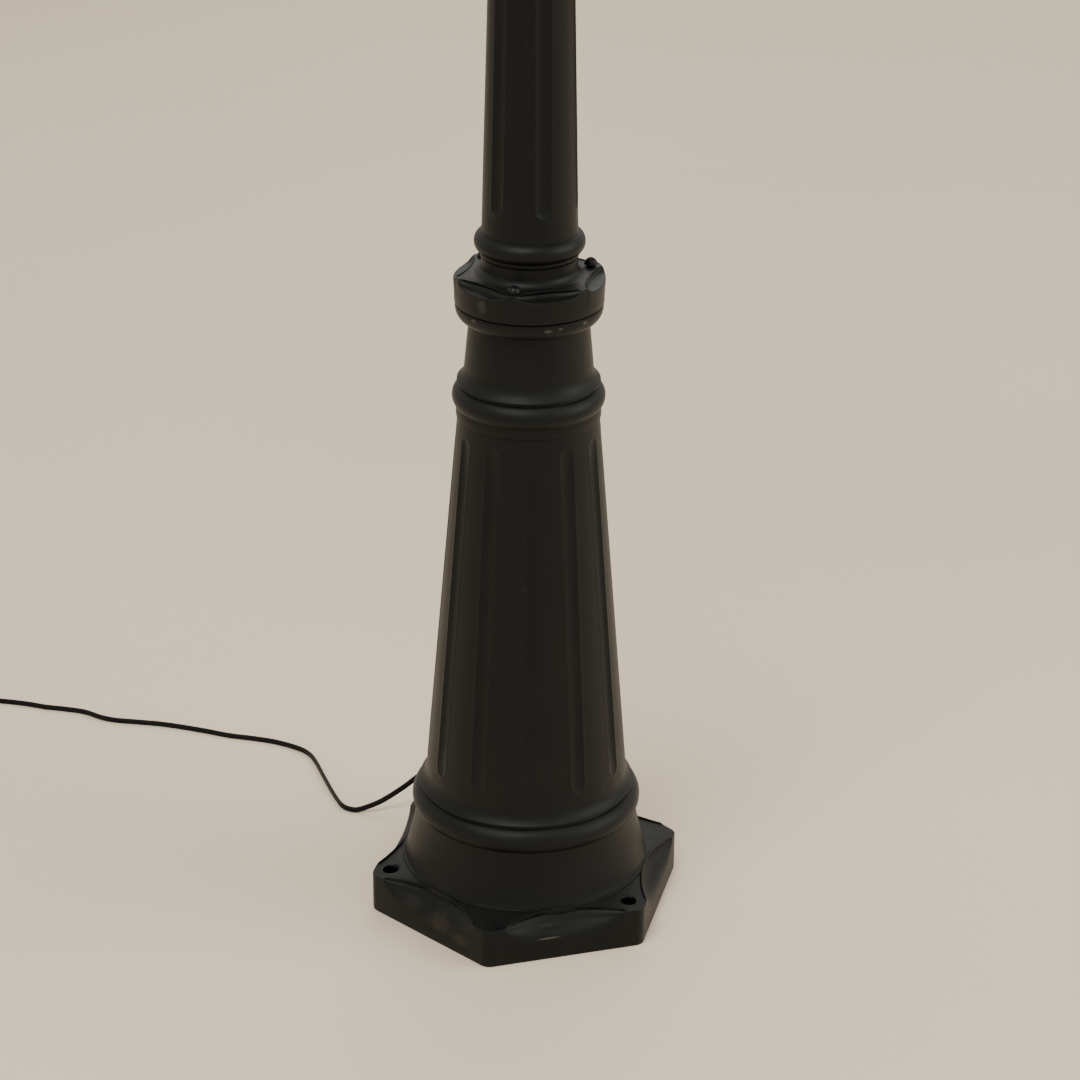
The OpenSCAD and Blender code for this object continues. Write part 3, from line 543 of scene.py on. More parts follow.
def wrapped(across: int, rows: int, place: Callable[[int, int], Vector]) -> bmesh.types.BMesh:
    """Wraps a grid round into a closed ring.

    Args:
        across: How many steps go round.
        rows: How many steps each section has, the last one back to the first row.
        place: Where a grid point goes, in metres, from its step round and its row.

    Returns:
        The closed shell.
    """
    bm = bmesh.new()
    bmesh.ops.create_grid(bm, x_segments=across, y_segments=rows, size=1.0)
    for vert in bm.verts:
        column = round((vert.co.x + 1) / 2 * across) % across
        row = round((vert.co.y + 1) / 2 * rows) % rows
        vert.co = place(column, row)
    bmesh.ops.remove_doubles(bm, verts=bm.verts, dist=MERGE)
    bmesh.ops.recalc_face_normals(bm, faces=bm.faces)
    return bm


def prism(outline: Sequence[Point], low: float, high: float,
          ease: float = 0.0) -> bmesh.types.BMesh:
    """Raises an outline into a solid with eased edges.

    Args:
        outline: Points in the XY plane, in millimetres.
        low: The height of its underside, in millimetres.
        high: The height of its top, in millimetres.
        ease: The width of the bevel on all its edges, in millimetres.

    Returns:
        The closed solid, in metres.
    """
    bm = bmesh.new()
    face = bm.faces.new([bm.verts.new((x * MM, y * MM, low * MM)) for x, y in outline])
    raised = bmesh.ops.extrude_face_region(bm, geom=[face])["geom"]
    top = [v for v in raised if isinstance(v, bmesh.types.BMVert)]
    bmesh.ops.translate(bm, verts=top, vec=(0, 0, (high - low) * MM))
    bmesh.ops.recalc_face_normals(bm, faces=bm.faces)
    if ease > 0:
        bevel(bm, ease)
    return bm


def bevel(bm: bmesh.types.BMesh, width_mm: float, segments: int = 2,
          sharper_than: float = CREASE) -> None:
    """Bevels the edges that turn more than an angle.

    Args:
        bm: The mesh.
        width_mm: The bevel's width.
        segments: How many faces the bevel has across.
        sharper_than: The least angle, in radians.
    """
    edges = [e for e in bm.edges if e.is_manifold and e.calc_face_angle(0.0) > sharper_than]
    bmesh.ops.bevel(bm, geom=edges, offset=width_mm * MM, offset_type="OFFSET", segments=segments,
                    profile=0.5, affect="EDGES", clamp_overlap=True, material=-1)


def joined(parts: Iterable[bmesh.types.BMesh]) -> bmesh.types.BMesh:
    """Puts several meshes into the first one, and frees the rest.

    Args:
        parts: The meshes, all but the first of which are freed.

    Returns:
        The first mesh, with all of them in it.
    """
    parts = list(parts)
    first = parts[0]
    for other in parts[1:]:
        carrier = bpy.data.meshes.new("carrier")
        other.to_mesh(carrier)
        other.free()
        first.from_mesh(carrier)
        bpy.data.meshes.remove(carrier)
    return first


def moved(bm: bmesh.types.BMesh, *turns: Matrix) -> bmesh.types.BMesh:
    """Moves a mesh by one matrix after another, the last one first.

    Args:
        bm: The mesh, in metres.
        turns: The matrices.

    Returns:
        The same mesh.
    """
    matrix = Matrix.Identity(4)
    for turn in turns:
        matrix = matrix @ turn
    bmesh.ops.transform(bm, matrix=matrix, verts=bm.verts)
    return bm


def shift(x: float, y: float, z: float) -> Matrix:
    """A move in millimetres."""
    return Matrix.Translation((x * MM, y * MM, z * MM))


def spin_z(degrees: float) -> Matrix:
    """A turn about Z."""
    return Matrix.Rotation(math.radians(degrees), 4, "Z")


FORWARD = Matrix.Rotation(math.pi / 2, 4, "X")  # +Z turned to face -Y


def finished(bm: bmesh.types.BMesh, name: str, body: str, finish: Finish,
             replaced: Sequence[str] = (), crease: float = CREASE) -> bpy.types.Object:
    """Turns a mesh into a piece of the clock.

    Args:
        bm: The mesh, in place, which is freed.
        name: The piece's name.
        body: The CAD body that it moves with.
        finish: Its finish.
        replaced: The CAD nodes that it stands for.
        crease: The angle past which an edge is shaded sharp, in radians.

    Returns:
        The piece.
    """
    for face in bm.faces:
        face.smooth = True
    for edge in bm.edges:
        edge.smooth = not (edge.is_manifold and edge.calc_face_angle(0.0) > crease)
    mesh = bpy.data.meshes.new(name)
    bm.to_mesh(mesh)
    bm.free()
    mesh.materials.append(finish.material())
    piece = bpy.data.objects.new(name, mesh)
    bpy.context.scene.collection.objects.link(piece)
    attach(piece, body)
    if replaced:
        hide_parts(*replaced)
    log.info("%s: %d faces, rides on %s", name, len(mesh.polygons), body)
    return piece


def carved(piece: bpy.types.Object, cutters: Iterable[bmesh.types.BMesh]) -> bpy.types.Object:
    """Cuts closed solids out of a piece.

    Args:
        piece: The piece.
        cutters: The solids, which are freed.

    Returns:
        The piece, with the cuts in its mesh.
    """
    for cutter in cutters:
        mesh = bpy.data.meshes.new("cutter")
        cutter.to_mesh(mesh)
        cutter.free()
        tool = bpy.data.objects.new("cutter", mesh)
        bpy.context.scene.collection.objects.link(tool)
        cut = piece.modifiers.new("cut", "BOOLEAN")
        cut.operation = "DIFFERENCE"
        cut.solver = "EXACT"
        cut.object = tool
        graph = bpy.context.evaluated_depsgraph_get()
        result = bpy.data.meshes.new_from_object(piece.evaluated_get(graph))
        piece.modifiers.remove(cut)
        old = piece.data
        piece.data = result
        bpy.data.meshes.remove(old)
        result.name = piece.name
        bpy.data.objects.remove(tool)
        bpy.data.meshes.remove(mesh)
    bm = bmesh.new()
    bm.from_mesh(piece.data)
    for edge in bm.edges:
        edge.smooth = not (edge.is_manifold and edge.calc_face_angle(0.0) > CREASE)
    bm.to_mesh(piece.data)
    bm.free()
    return piece


def dressed(finish: Finish, *nodes: str) -> None:
    """Gives CAD nodes that keep their own shape a finish.

    Args:
        finish: The finish.
        nodes: The nodes' names.
    """
    for node in nodes:
        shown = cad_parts[node]
        for holder in shown.material_slots:
            holder.material = finish.material()
        log.info("%s: keeps its CAD shape, in %s", node, finish.name)


def bent(start: Vector, corner: Vector, end: Vector, steps: int) -> list[Vector]:
    """Points of a quadratic curve that rounds a corner, its start and end included."""
    shares = [k / steps for k in range(steps + 1)]
    return [start * (1 - t) ** 2 + corner * 2 * t * (1 - t) + end * t ** 2 for t in shares]


def cove_rows(edge: Point, corner: Point, sweep: Callable[[float], Point], length: float,
              low_ease: float, ease: float, swell: float, lip: float,
              undercut: float) -> list[Point]:
    """Rows of a section where a cove is cut into an upright corner.

    Where the cove has run out the rows lie on the eased corner, so that every section has as many.

    Args:
        edge: Where the cove leaves the upright face, as distance inward and height.
        corner: The corner as it would be with no cove.
        sweep: The cove's points, from 0 at its lower edge to 1 at its upper one.
        length: The length of the cove in this section.
        low_ease: The rounding of the cove's lower edge.
        ease: The rounding of its upper edge, and of the corner.
        swell: How far the upright face swells out along the cove's lower edge.
        lip: The height of the raised lip along the cove's upper edge.
        undercut: How far the wall runs back under the lip.

    Returns:
        Twenty points, from the upright face to the top.
    """
    share = smooth_step(length / (5 * ease))
    low_ease = min(low_ease, 0.4 * length + 0.2)
    first = min(0.45, low_ease / max(length, 1e-6))
    last = 1 - min(0.2, 0.6 * ease / max(length, 1e-6))
    top, rise = Vector(sweep(1.0)), Vector((0, lip))
    cut = bent(Vector((-swell, edge[1] - low_ease)), Vector((-swell * 0.5, edge[1])),
               Vector(sweep(first)), 5)
    for k in range(1, 8):
        t = first + (last - first) * k / 7
        back = undercut * math.exp(-((t - UNDERCUT_AT) / UNDERCUT_SPREAD) ** 2)
        cut.append(Vector(sweep(t)) + Vector((back, 0)))
    cut += bent(cut[-1], top + rise * 1.5, top + rise + Vector((ease, 0)), 3)[1:]
    cut += bent(top + rise + Vector((ease, 0)), top + rise + Vector((ease * 1.6, 0)),
                top + Vector((ease * 2.6, 0)), 4)[1:]
    low, high = Vector((0, corner[1] - ease)), Vector((ease, corner[1]))
    plain = bent(low, Vector(corner), high, len(cut) - 1)
    return [tuple(a.lerp(b, share)) for a, b in zip(plain, cut)]


# ---------------------------------------------------------------- the post


@dataclass
class Heights:
    """The levels of the post that several castings share, in millimetres."""

    corner: float = 36.0
    land: float = 41.0
    waist: float = 88.0
    cone_low: float = 130.0
    cone_high: float = 470.0
    neck_low: float = 517.0
    neck_high: float = 556.5
    rim: float = 573.0
    band: float = 594.0
    collar: float = 599.0
    column_low: float = 642.0
    column_high: float = 1275.0
    straight: float = 1299.0
    capital: float = 1361.0
    clock: float = 1599.0


@dataclass
class BasePlate:
    """The hexagonal plate at the foot of the pedestal, with a cove along each side.

    Attributes:
        levels: The post's heights.
        corner_r: From the axis to each sharp corner.
        round_r: The radius of the upright corners.
        foot_r: The radius of the round foot that stands on the plate.
        bore_r: The radius of the hollow under it.
        cove_r: The radius of the coves' section.
        cove_land: The plate left between two coves, from a corner.
        hole_r: The radius of the anchor holes.
        hole_ring: The radius of the circle through their middles.
        low_ease: The rounding of the coves' lower edges.
        ease: The rounding of the plate's other edges.
        lip: The height of the lip along the coves' upper edges.
        undercut: How far the coves run back under that lip.
    """

    levels: Heights
    corner_r: float = 145.0
    round_r: float = 11.0
    foot_r: float = 109.77
    bore_r: float = 93.8
    cove_r: float = 14.0
    cove_land: float = 15.0
    hole_r: float = 7.0
    hole_ring: float = 127.0
    low_ease: float = 8.5
    ease: float = 0.8
    lip: float = 1.5
    undercut: float = 1.9
    side_steps: int = 48
    corner_steps: int = 10

    def build(self) -> bpy.types.Object:
        """Builds the plate with its three anchor holes.

        Returns:
            The plate.
        """
        columns = self._columns()
        sections = [self._section(*column) for column in columns]
        bm = wrapped(len(columns), len(sections[0]), lambda i, j: sections[i][j])
        plate = finished(bm, "base_plate", POST, COATED_IRON, ["pedestal"])
        return carved(plate, [self._hole_cutter(angle) for angle in (60, 180, 300)])

    def _columns(self) -> list[tuple[Vector, Vector, Optional[float]]]:
        """The plate's outline, as points, directions inward, and places along a straight side.

        Returns:
            For each step a point, its direction inward, and its place along a side or None.
        """
        apothem = self.corner_r * math.cos(math.pi / 6)
        straight = self.corner_r / 2 - self.round_r * math.tan(math.pi / 6)
        centre_r = self.corner_r - self.round_r / math.cos(math.pi / 6)
        made = []
        for k in range(6):
            facing = math.radians(30 + 60 * k)
            normal = Vector((math.cos(facing), math.sin(facing)))
            along = Vector((-normal.y, normal.x))
            for i in range(self.side_steps + 1):
                x = straight * math.sin(math.pi / 2 * (2 * i / self.side_steps - 1))
                made.append((normal * apothem + along * x, -normal, x))
            turn = math.radians(60 * (k + 1))
            centre = Vector((math.cos(turn), math.sin(turn))) * centre_r
            for i in range(1, self.corner_steps):
                a = math.radians(30 + 60 * k + 60 * i / self.corner_steps)
                out = Vector((math.cos(a), math.sin(a)))
                made.append((centre + out * self.round_r, -out, None))
        return made

    def _top(self, radius: float) -> float:
        """The height of the plate's sloping top at a distance from the axis."""
        slope = (self.levels.land - self.levels.corner) / (self.corner_r - self.foot_r - 1)
        return self.levels.corner + (self.corner_r - radius) * slope

    def _section(self, point: Vector, inward: Vector, x: Optional[float]) -> list[Vector]:
        """One upright section of the plate.

        Args:
            point: The outline's point.
            inward: The direction inward.
            x: The place along a straight side, or None on a rounded corner.

        Returns:
            The section's points, in metres, from the underside round to the bore.
        """
        corner = (0.0, self._top(point.length))
        middle = self.levels.land - 2
        chord = self.corner_r / 2 - self.cove_land
        ring = (chord ** 2 + self.cove_r ** 2) / (2 * self.cove_r) - self.cove_r
        start, end = 0.0, 0.0
        if x is not None:
            rise = math.hypot(ring, x) - ring
            start = math.acos(min(1.0, rise / self.cove_r))
            for _ in range(4):
                q = self._cove(ring, x, end)[0]
                height = self._top((point + inward * q).length)
                end = math.asin(max(-1.0, min(1.0, (middle - height) / self.cove_r)))
        length = max(0.0, self.cove_r * (start - end))

        def sweep(t: float) -> Point:
            """The cove's point at a share of its length."""
            q, drop = self._cove(ring, x or 0.0, start + (end - start) * t)
            return q, middle - drop

        edge = sweep(0.0) if length > 0 else corner
        rows = cove_rows((0.0, edge[1]), corner, sweep if length > 0 else lambda t: corner, length,
                         self.low_ease, self.ease, 0.0, self.lip, self.undercut)
        inset = rows[-1][0]
        foot = (1.5, 0.0), (0.4, 0.4), (0.0, 1.5), (0.0, 0.5 * rows[0][1])
        flat = [(inset + 3.0, self._top((point + inward * (inset + 3.0)).length))]
        made = [point + inward * q for q, _ in [*foot, *rows, *flat]]
        heights = [z for _, z in [*foot, *rows, *flat]]
        outer = point.normalized()
        for radius, z in ((self.foot_r + 1.2, self._top(self.foot_r + 1.2)),
                          (self.bore_r, self.levels.land - 1), (self.bore_r, 0.0)):
            made.append(outer * radius)
            heights.append(z)
        return [Vector((p.x, p.y, z)) * MM for p, z in zip(made, heights)]

    def _cove(self, ring: float, x: float, angle: float) -> Point:
        """A point of the cove's surface, as distance inward and depth below the cove's middle.

        Args:
            ring: The radius of the circle that the cove's middle runs along.
            x: The place along the side.
            angle: The angle round the cove's section, in radians.

        Returns:
            The distance inward and the depth.
        """
        reach = ring + self.cove_r * math.cos(angle)
        return math.sqrt(max(0.0, reach ** 2 - x ** 2)) - ring, self.cove_r * math.sin(angle)

    def _hole_cutter(self, angle: float) -> bmesh.types.BMesh:
        """A drill for one anchor hole, with the soft rim that the coat leaves.

        Args:
            angle: The hole's angle from +X, in degrees.

        Returns:
            The cutter, in metres.
        """
        x = self.hole_ring * math.cos(math.radians(angle))
        y = self.hole_ring * math.sin(math.radians(angle))
        top = self._top(self.hole_ring)
        outline = [(0.0, -5.0), (self.hole_r, -5.0), (self.hole_r, top - 1.2),
                   (self.hole_r + 0.3, top - 0.4), (self.hole_r + 1.1, top + 0.4),
                   (self.hole_r + 1.1, top + 5.0), (0.0, top + 5.0)]
        return moved(spun(outline, 48, closed=False), shift(x, y, 0))


@dataclass
class Flutes:
    """A ring of round-ended flutes in a taper, pressed into a spun shell.

    Attributes:
        count: How many there are.
        first: The angle of the first one's middle, in degrees.
        low: The height of its lower end's middle.
        high: The height of its upper end's middle.
        half_w: Half its width at the surface.
        depth: Its depth.
        lip: How far each side of its edge is rounded.
        ridge: How far the edge stands proud of the taper.
        fade: The share of its depth that it loses towards each end.
        reach: How far past its ends the shell's lines spread out evenly again.
        bands: Steps of the shell in each flute's half.
        lands: Steps of the shell in half of the land between two flutes.
    """

    count: int
    first: float
    low: float
    high: float
    half_w: float = 6.5
    depth: float = 2.5
    lip: float = 0.8
    ridge: float = 0.3
    fade: float = 0.5
    reach: float = 4.0
    bands: int = 9
    lands: int = 5

    @property
    def steps(self) -> int:
        """How many steps the shell has in a full turn."""
        return self.count * 2 * (self.bands + self.lands)

    def _distances(self) -> list[float]:
        """How far each line of the shell runs from a flute's middle, out to past its lip."""
        w, e = self.half_w, self.lip
        return [0.0, 0.25 * w, 0.48 * w, 0.68 * w, w - e, w - e / 2, w, w + e / 2, w + e, w + 2 * e]

    def rows(self) -> list[float]:
        """The heights at which the shell needs a row, from below the flutes to above them.

        Returns:
            The heights, in rising order.
        """
        w, e = self.half_w, self.lip
        ends = [w + 2.4 * e + self.reach, w + 2.4 * e, w + e, w + e / 2, w, w - e / 2, w - e,
                0.78 * w, 0.6 * w, 0.4 * w, 0.2 * w, 0.0]
        body = [self.low + (self.high - self.low) * i / 12 for i in range(1, 12)]
        return [self.low - d for d in ends] + body + [self.high + d for d in reversed(ends)]

    def press(self, bm: bmesh.types.BMesh, outer_than: Callable[[float], float]) -> None:
        """Moves the shell's points onto the flutes.

        Args:
            bm: The shell, in metres, about the Z axis.
            outer_than: The radius that tells the outer wall from the bore at a height.
        """
        sector = TURN / self.count
        near = self._distances()
        outside = self.half_w + 2.4 * self.lip + self.reach
        for vert in bm.verts:
            z = vert.co.z / MM
            radius = math.hypot(vert.co.x, vert.co.y) / MM
            if not self.low - outside - 0.1 <= z <= self.high + outside + 0.1:
                continue
            if radius < outer_than(z):
                continue
            turned = math.atan2(vert.co.y, vert.co.x) - math.radians(self.first)
            middle = round(turned / sector) * sector
            step = (turned - middle) / sector * 2 * (self.bands + self.lands)
            line, side = round(abs(step)), math.copysign(1.0, step)
            beyond = max(self.low - z, z - self.high, 0.0)
            half = radius * sector / 2
            if line <= self.bands:
                straight = near[line]
                x = math.sqrt(max(straight ** 2 - beyond ** 2, (0.16 * straight) ** 2))
            else:
                edge = math.sqrt(max(near[self.bands] ** 2 - beyond ** 2,
                                     (0.16 * near[self.bands]) ** 2))
                x = edge + (half - edge) * (line - self.bands) / self.lands
            even = half * line / (self.bands + self.lands)
            spread = smooth_step((beyond - self.half_w - 2.4 * self.lip) / self.reach)
            x = x + (even - x) * spread
            angle = math.radians(self.first) + middle + side * x / radius
            inside = (min(z - self.low, self.high - z) + self.half_w) / 26
            shallow = 1 - self.fade * (1 - smooth_step(inside))
            radius -= self._depth(math.hypot(x, beyond)) * shallow
            vert.co.x, vert.co.y = radius * math.cos(angle) * MM, radius * math.sin(angle) * MM

    def _depth(self, distance: float) -> float:
        """How deep the flute is at a distance from the line through its middle.

        Args:
            distance: The distance, in millimetres.

        Returns:
            The depth, which is negative where the edge stands proud.
        """
        r = (self.half_w ** 2 + self.depth ** 2) / (2 * self.depth)
        slope = self.half_w / (r - self.depth)
        over = abs(distance - self.half_w - 0.6 * self.lip) / (1.2 * self.lip)
        rise = self.ridge * max(0.0, 1 - over)
        if distance >= self.half_w + self.lip:
            return -rise
        if distance > self.half_w - self.lip:
            return slope * (self.half_w + self.lip - distance) ** 2 / (4 * self.lip) - rise
        return math.sqrt(r ** 2 - distance ** 2) - (r - self.depth)


@dataclass
class Pedestal:
    """The pedestal's round casting: foot, beads, fluted cone, neck and rim.

    Attributes:
        levels: The post's heights.
        foot_r: The foot's radius where it meets the plate.
        waist_r: Its radius at the waist.
        bead_r: The radius of the lower bead's section.
        cove_r: The radius of the cove above it.
        cone_low_r: The cone's radius at its foot.
        cone_high_r: The cone's radius at its top.
        upper_bead_r: The radius of the upper bead's section.
        neck_low_r: The neck's radius at its foot.
        neck_high_r: The neck's radius at its top.
        rim_r: The rim's radius.
        wall: The casting's thickness.
    """

    levels: Heights
    foot_r: float = 109.77
    waist_r: float = 99.57
    bead_r: float = 13.0
    cove_r: float = 16.0
    cone_low_r: float = 89.77
    cone_high_r: float = 61.3
    upper_bead_r: float = 11.5
    neck_low_r: float = 55.2
    neck_high_r: float = 51.5
    rim_r: float = 63.1
    wall: float = 9.0
    gland_z: float = 76.0
    gland_boss_r: float = 13.0

    def cone(self, z: float) -> float:
        """The cone's radius at a height."""
        share = (z - self.levels.cone_low) / (self.levels.cone_high - self.levels.cone_low)
        return self.cone_low_r + (self.cone_high_r - self.cone_low_r) * share

    def build(self) -> bpy.types.Object:
        """Builds the casting, with its flutes and the boss for the gland.

        Returns:
            The casting.
        """
        flutes = Flutes(12, 15.0, self.levels.cone_low + 17, self.levels.cone_high - 17, reach=2.5)
        bm = spun(self._outline(flutes), flutes.steps)
        flutes.press(bm, lambda z: self.cone(z) - self.wall / 2)
        return finished(joined([bm, self._boss()]), "pedestal_casting", POST, COATED_IRON,
                        ["pedestal"])

    def _outline(self, flutes: Flutes) -> list[Point]:
        """The casting's section, up the outside and down the bore.

        Args:
            flutes: The flutes, which say where rows are needed.

        Returns:
            Points as radius and height.
        """
        at = self.levels
        low_bead = self.waist_r + 3.1 - self.bead_r
        high_bead = self.cone_high_r + 4.6 - self.upper_bead_r
        skirt_low = at.land + 1.5
        skirt = [(self.foot_r - 10.2 * (1 - (1 - u) ** 1.4), skirt_low + (at.waist - skirt_low) * u,
                  0.0) for u in [i / 8 for i in range(9)]]
        foot = eased([(self.foot_r + 2.6, at.land - 3, 0.0),
                      (self.foot_r + 2.6, at.land + 0.9, 0.8),
                      (self.foot_r + 0.2, at.land + 1.2, 0.5), *skirt])
        beads = arc(low_bead, at.waist + self.bead_r, self.bead_r, -42, 72, 16)
        cove = arc(self.cone_low_r + self.cove_r, at.cone_low, self.cove_r, 232, 180, 9)
        beads += eased([(*beads[-1], 0.0), (beads[-1][0] - 0.6, beads[-1][1] + 1.2, 0.3),
                        (cove[0][0] + 0.2, cove[0][1] - 1.0, 0.5), (*cove[0], 0.0)])[1:-1]
        cone = [(self.cone(z), z) for z in flutes.rows()]
        swell = arc(high_bead, at.cone_high + 18.5, self.upper_bead_r, -48, 68, 14)
        collar = eased([(self.cone_high_r, at.cone_high, 0.0),
                        (self.cone_high_r + 1.2, at.cone_high + 1, 0.4),
                        (self.cone_high_r + 1.2, at.cone_high + 6, 0.4), (*swell[0], 0.0)])
        upper = swell[1:]
        flare = arc(self.neck_low_r + 18, at.neck_low, 18, 230, 180, 9)
        upper += eased([(*upper[-1], 0.0), (upper[-1][0] - 0.5, upper[-1][1] + 1.2, 0.3),
                        (flare[0][0] + 0.2, flare[0][1] - 1.0, 0.5), (*flare[0], 0.0)])[1:-1]
        neck = flare + [(self.neck_high_r, at.neck_high)]
        rim_round = 13.5
        lip = arc(self.neck_high_r + 11.6 - rim_round, at.rim - 3, rim_round, -78, 0, 12)
        rim = eased([(*lip[-1], 0.0), (self.rim_r, at.rim, 1.8), (self.rim_r - 6, at.rim, 0.0)])[1:]
        bore = [(43.5, at.rim), (43.5, at.neck_low), (self.cone_high_r - self.wall, at.cone_high)]
        bore += [(self.cone(z) - self.wall, z) for z in reversed(flutes.rows()[::6])]
        bore += [(self.waist_r - 14, at.waist), (self.foot_r - 16, at.land - 3)]
        return foot + beads + cove + cone + collar + upper + neck + lip + rim + bore

    def _boss(self) -> bmesh.types.BMesh:
        """The short round boss in the foot's rear that the gland is screwed into.

        Returns:
            The closed solid, in metres.
        """
        outline = eased([(0.0, self.waist_r - 12, 0.0), (self.gland_boss_r, self.waist_r - 12, 0.0),
                         (self.gland_boss_r, self.foot_r - 0.8, 1.0),
                         (0.0, self.foot_r - 0.8, 0.0)])
        return moved(spun(outline, 48, closed=False), shift(0, 0, self.gland_z),
                     Matrix.Rotation(-math.pi / 2, 4, "X"))


@dataclass
class Column:
    """The fluted column with the scalloped collar that is screwed to the pedestal's rim.

    Attributes:
        levels: The post's heights.
        collar_r: The collar's radius.
        scallop_r: The radius of the scallops' section.
        scallop_reach: From the axis to the middle of each scallop's sweep.
        neck_r: The radius above the collar.
        low_r: The column's radius above its bead.
        high_r: Its radius at the top.
        bead_r: The radius of the bead's section.
        wall: The casting's thickness.
        spigot_r: The radius of what drops into the pedestal.
        ease: The rounding of the collar's edges.
        collar_lip: The height of the lip along the scallops' upper edges.
        scallop_bite: How far each scallop cuts into the collar's side.
        scallop_swell: How far the side swells out below them.
        undercut: How far the scallops run back under their lips.
    """

    levels: Heights
    collar_r: float = 63.75
    scallop_r: float = 12.0
    scallop_reach: float = 150.0
    neck_r: float = 41.0
    low_r: float = 40.5
    high_r: float = 24.8
    bead_r: float = 9.5
    wall: float = 5.6
    spigot_r: float = 43.3
    ease: float = 0.7
    collar_lip: float = 0.7
    scallop_bite: float = 1.7
    scallop_swell: float = 0.9
    undercut: float = 1.2

    def taper(self, z: float) -> float:
        """The column's radius at a height."""
        at = self.levels
        share = (z - at.column_low) / (at.column_high - at.column_low)
        return self.low_r + (self.high_r - self.low_r) * share

    def build(self) -> list[bpy.types.Object]:
        """Builds the collar and the shaft, which are one casting.

        Returns:
            The shaft and the collar.
        """
        flutes = Flutes(6, 30.0, self.levels.column_low + 23, self.levels.column_high - 26,
                        lands=12, fade=0.25, reach=6.0)
        bm = spun(self._outline(flutes), flutes.steps)
        flutes.press(bm, lambda z: self.taper(z) - self.wall / 2)
        shaft = finished(bm, "column_shaft", POST, COATED_ALLOY, ["column"])
        across = 240
        sections = [self._section(360 * i / across) for i in range(across)]
        ring = wrapped(across, len(sections[0]), lambda i, j: sections[i][j])
        collar = finished(ring, "column_collar", POST, COATED_ALLOY, ["column"])
        return [shaft, collar]

    def _outline(self, flutes: Flutes) -> list[Point]:
        """The shaft's section, up the outside and down the bore.

        Args:
            flutes: The flutes, which say where rows are needed.

        Returns:
            Points as radius and height.
        """
        at = self.levels
        bead = self.low_r - 2.9
        foot = arc(self.neck_r + 7, at.collar + 7, 7, 262, 180, 8)
        swell = arc(bead, at.collar + 28, self.bead_r, -62, 70, 14)
        step = eased([(*foot[-1], 0.0), (self.neck_r, at.collar + 15, 0.6),
                      (self.low_r + 1.6, at.collar + 17.5, 0.6), (*swell[0], 0.0)])[1:-1]
        top = eased([(self.high_r, at.column_high, 0.0), (self.high_r, at.straight, 0.6),
                     (self.high_r - self.wall, at.straight, 0.0)])
        return (foot + step + swell
                + [(self.low_r + 0.2, at.column_low - 2), (self.low_r, at.column_low)]
                + [(self.taper(z), z) for z in flutes.rows()] + top
                + [(self.taper(z) - self.wall, z) for z in reversed(flutes.rows()[::6])]
                + [(self.low_r - self.wall, at.column_low), (self.spigot_r - 7, at.collar - 8)])

    def _section(self, degrees: float) -> list[Vector]:
        """One upright section of the collar and its spigot.

        Args:
            degrees: The section's angle from +X.

        Returns:
            The section's points, in metres, from the spigot round to the bore.
        """
        at = self.levels
        angle = math.radians(degrees)
        off = math.radians((degrees - 30 + 30) % 60 - 30)
        ring = self.scallop_reach - self.collar_r + self.scallop_bite
        middle = at.band + self.scallop_r
        axis = self.scallop_reach * math.cos(off)
        across = self.scallop_reach * math.sin(off)

        def inset(height: float) -> float:
            """How far inside the collar's side the scallop is at a height."""
            half = math.sqrt(max(0.0, self.scallop_r ** 2 - (middle - height) ** 2))
            return self.collar_r - axis + math.sqrt((ring + half) ** 2 - across ** 2)

        half = math.hypot(axis - self.collar_r, across) - ring
        start = middle - math.sqrt(max(0.0, self.scallop_r ** 2 - max(0.0, half) ** 2))
        start = min(start, at.collar)
        length = math.hypot(at.collar - start, max(0.0, inset(at.collar))) * 1.15
        corner = (0.0, at.collar)
        deepest = max(0.0, inset(at.collar))
        gone = start >= at.collar - 1e-6 or deepest <= 0

        def sweep(t: float) -> Point:
            """The scallop's point at a share of its length."""
            return deepest * (1 - (1 - t) ** 3), start + (at.collar - start) * t ** 2.6

        rows = cove_rows((0.0, start), corner, (lambda t: corner) if gone else sweep,
                         0.0 if gone else length, self.ease, self.ease, self.collar_lip,
                         self.scallop_swell, self.undercut)
        spigot_in = self.collar_r - self.spigot_r
        spigot = [(spigot_in, at.rim - 28), (spigot_in, at.rim + 0.05), (2.0, at.rim + 0.05),
                  (1.1, at.rim + 0.8), (0.2, at.rim + 1.4), (0.0, at.rim + 2.2),
                  (0.0, at.rim + 8.0)]
        inner = [(self.collar_r - self.neck_r - 2.0, at.collar + 0.05),
                 (self.collar_r - self.neck_r + 3.0, at.collar),
                 (spigot_in + 7, at.collar - 8), (spigot_in + 7, at.rim - 28)]
        out = Vector((math.cos(angle), math.sin(angle), 0))
        return [(out * (self.collar_r - q) + Vector((0, 0, z))) * MM
                for q, z in [*spigot, *rows, *inner]]


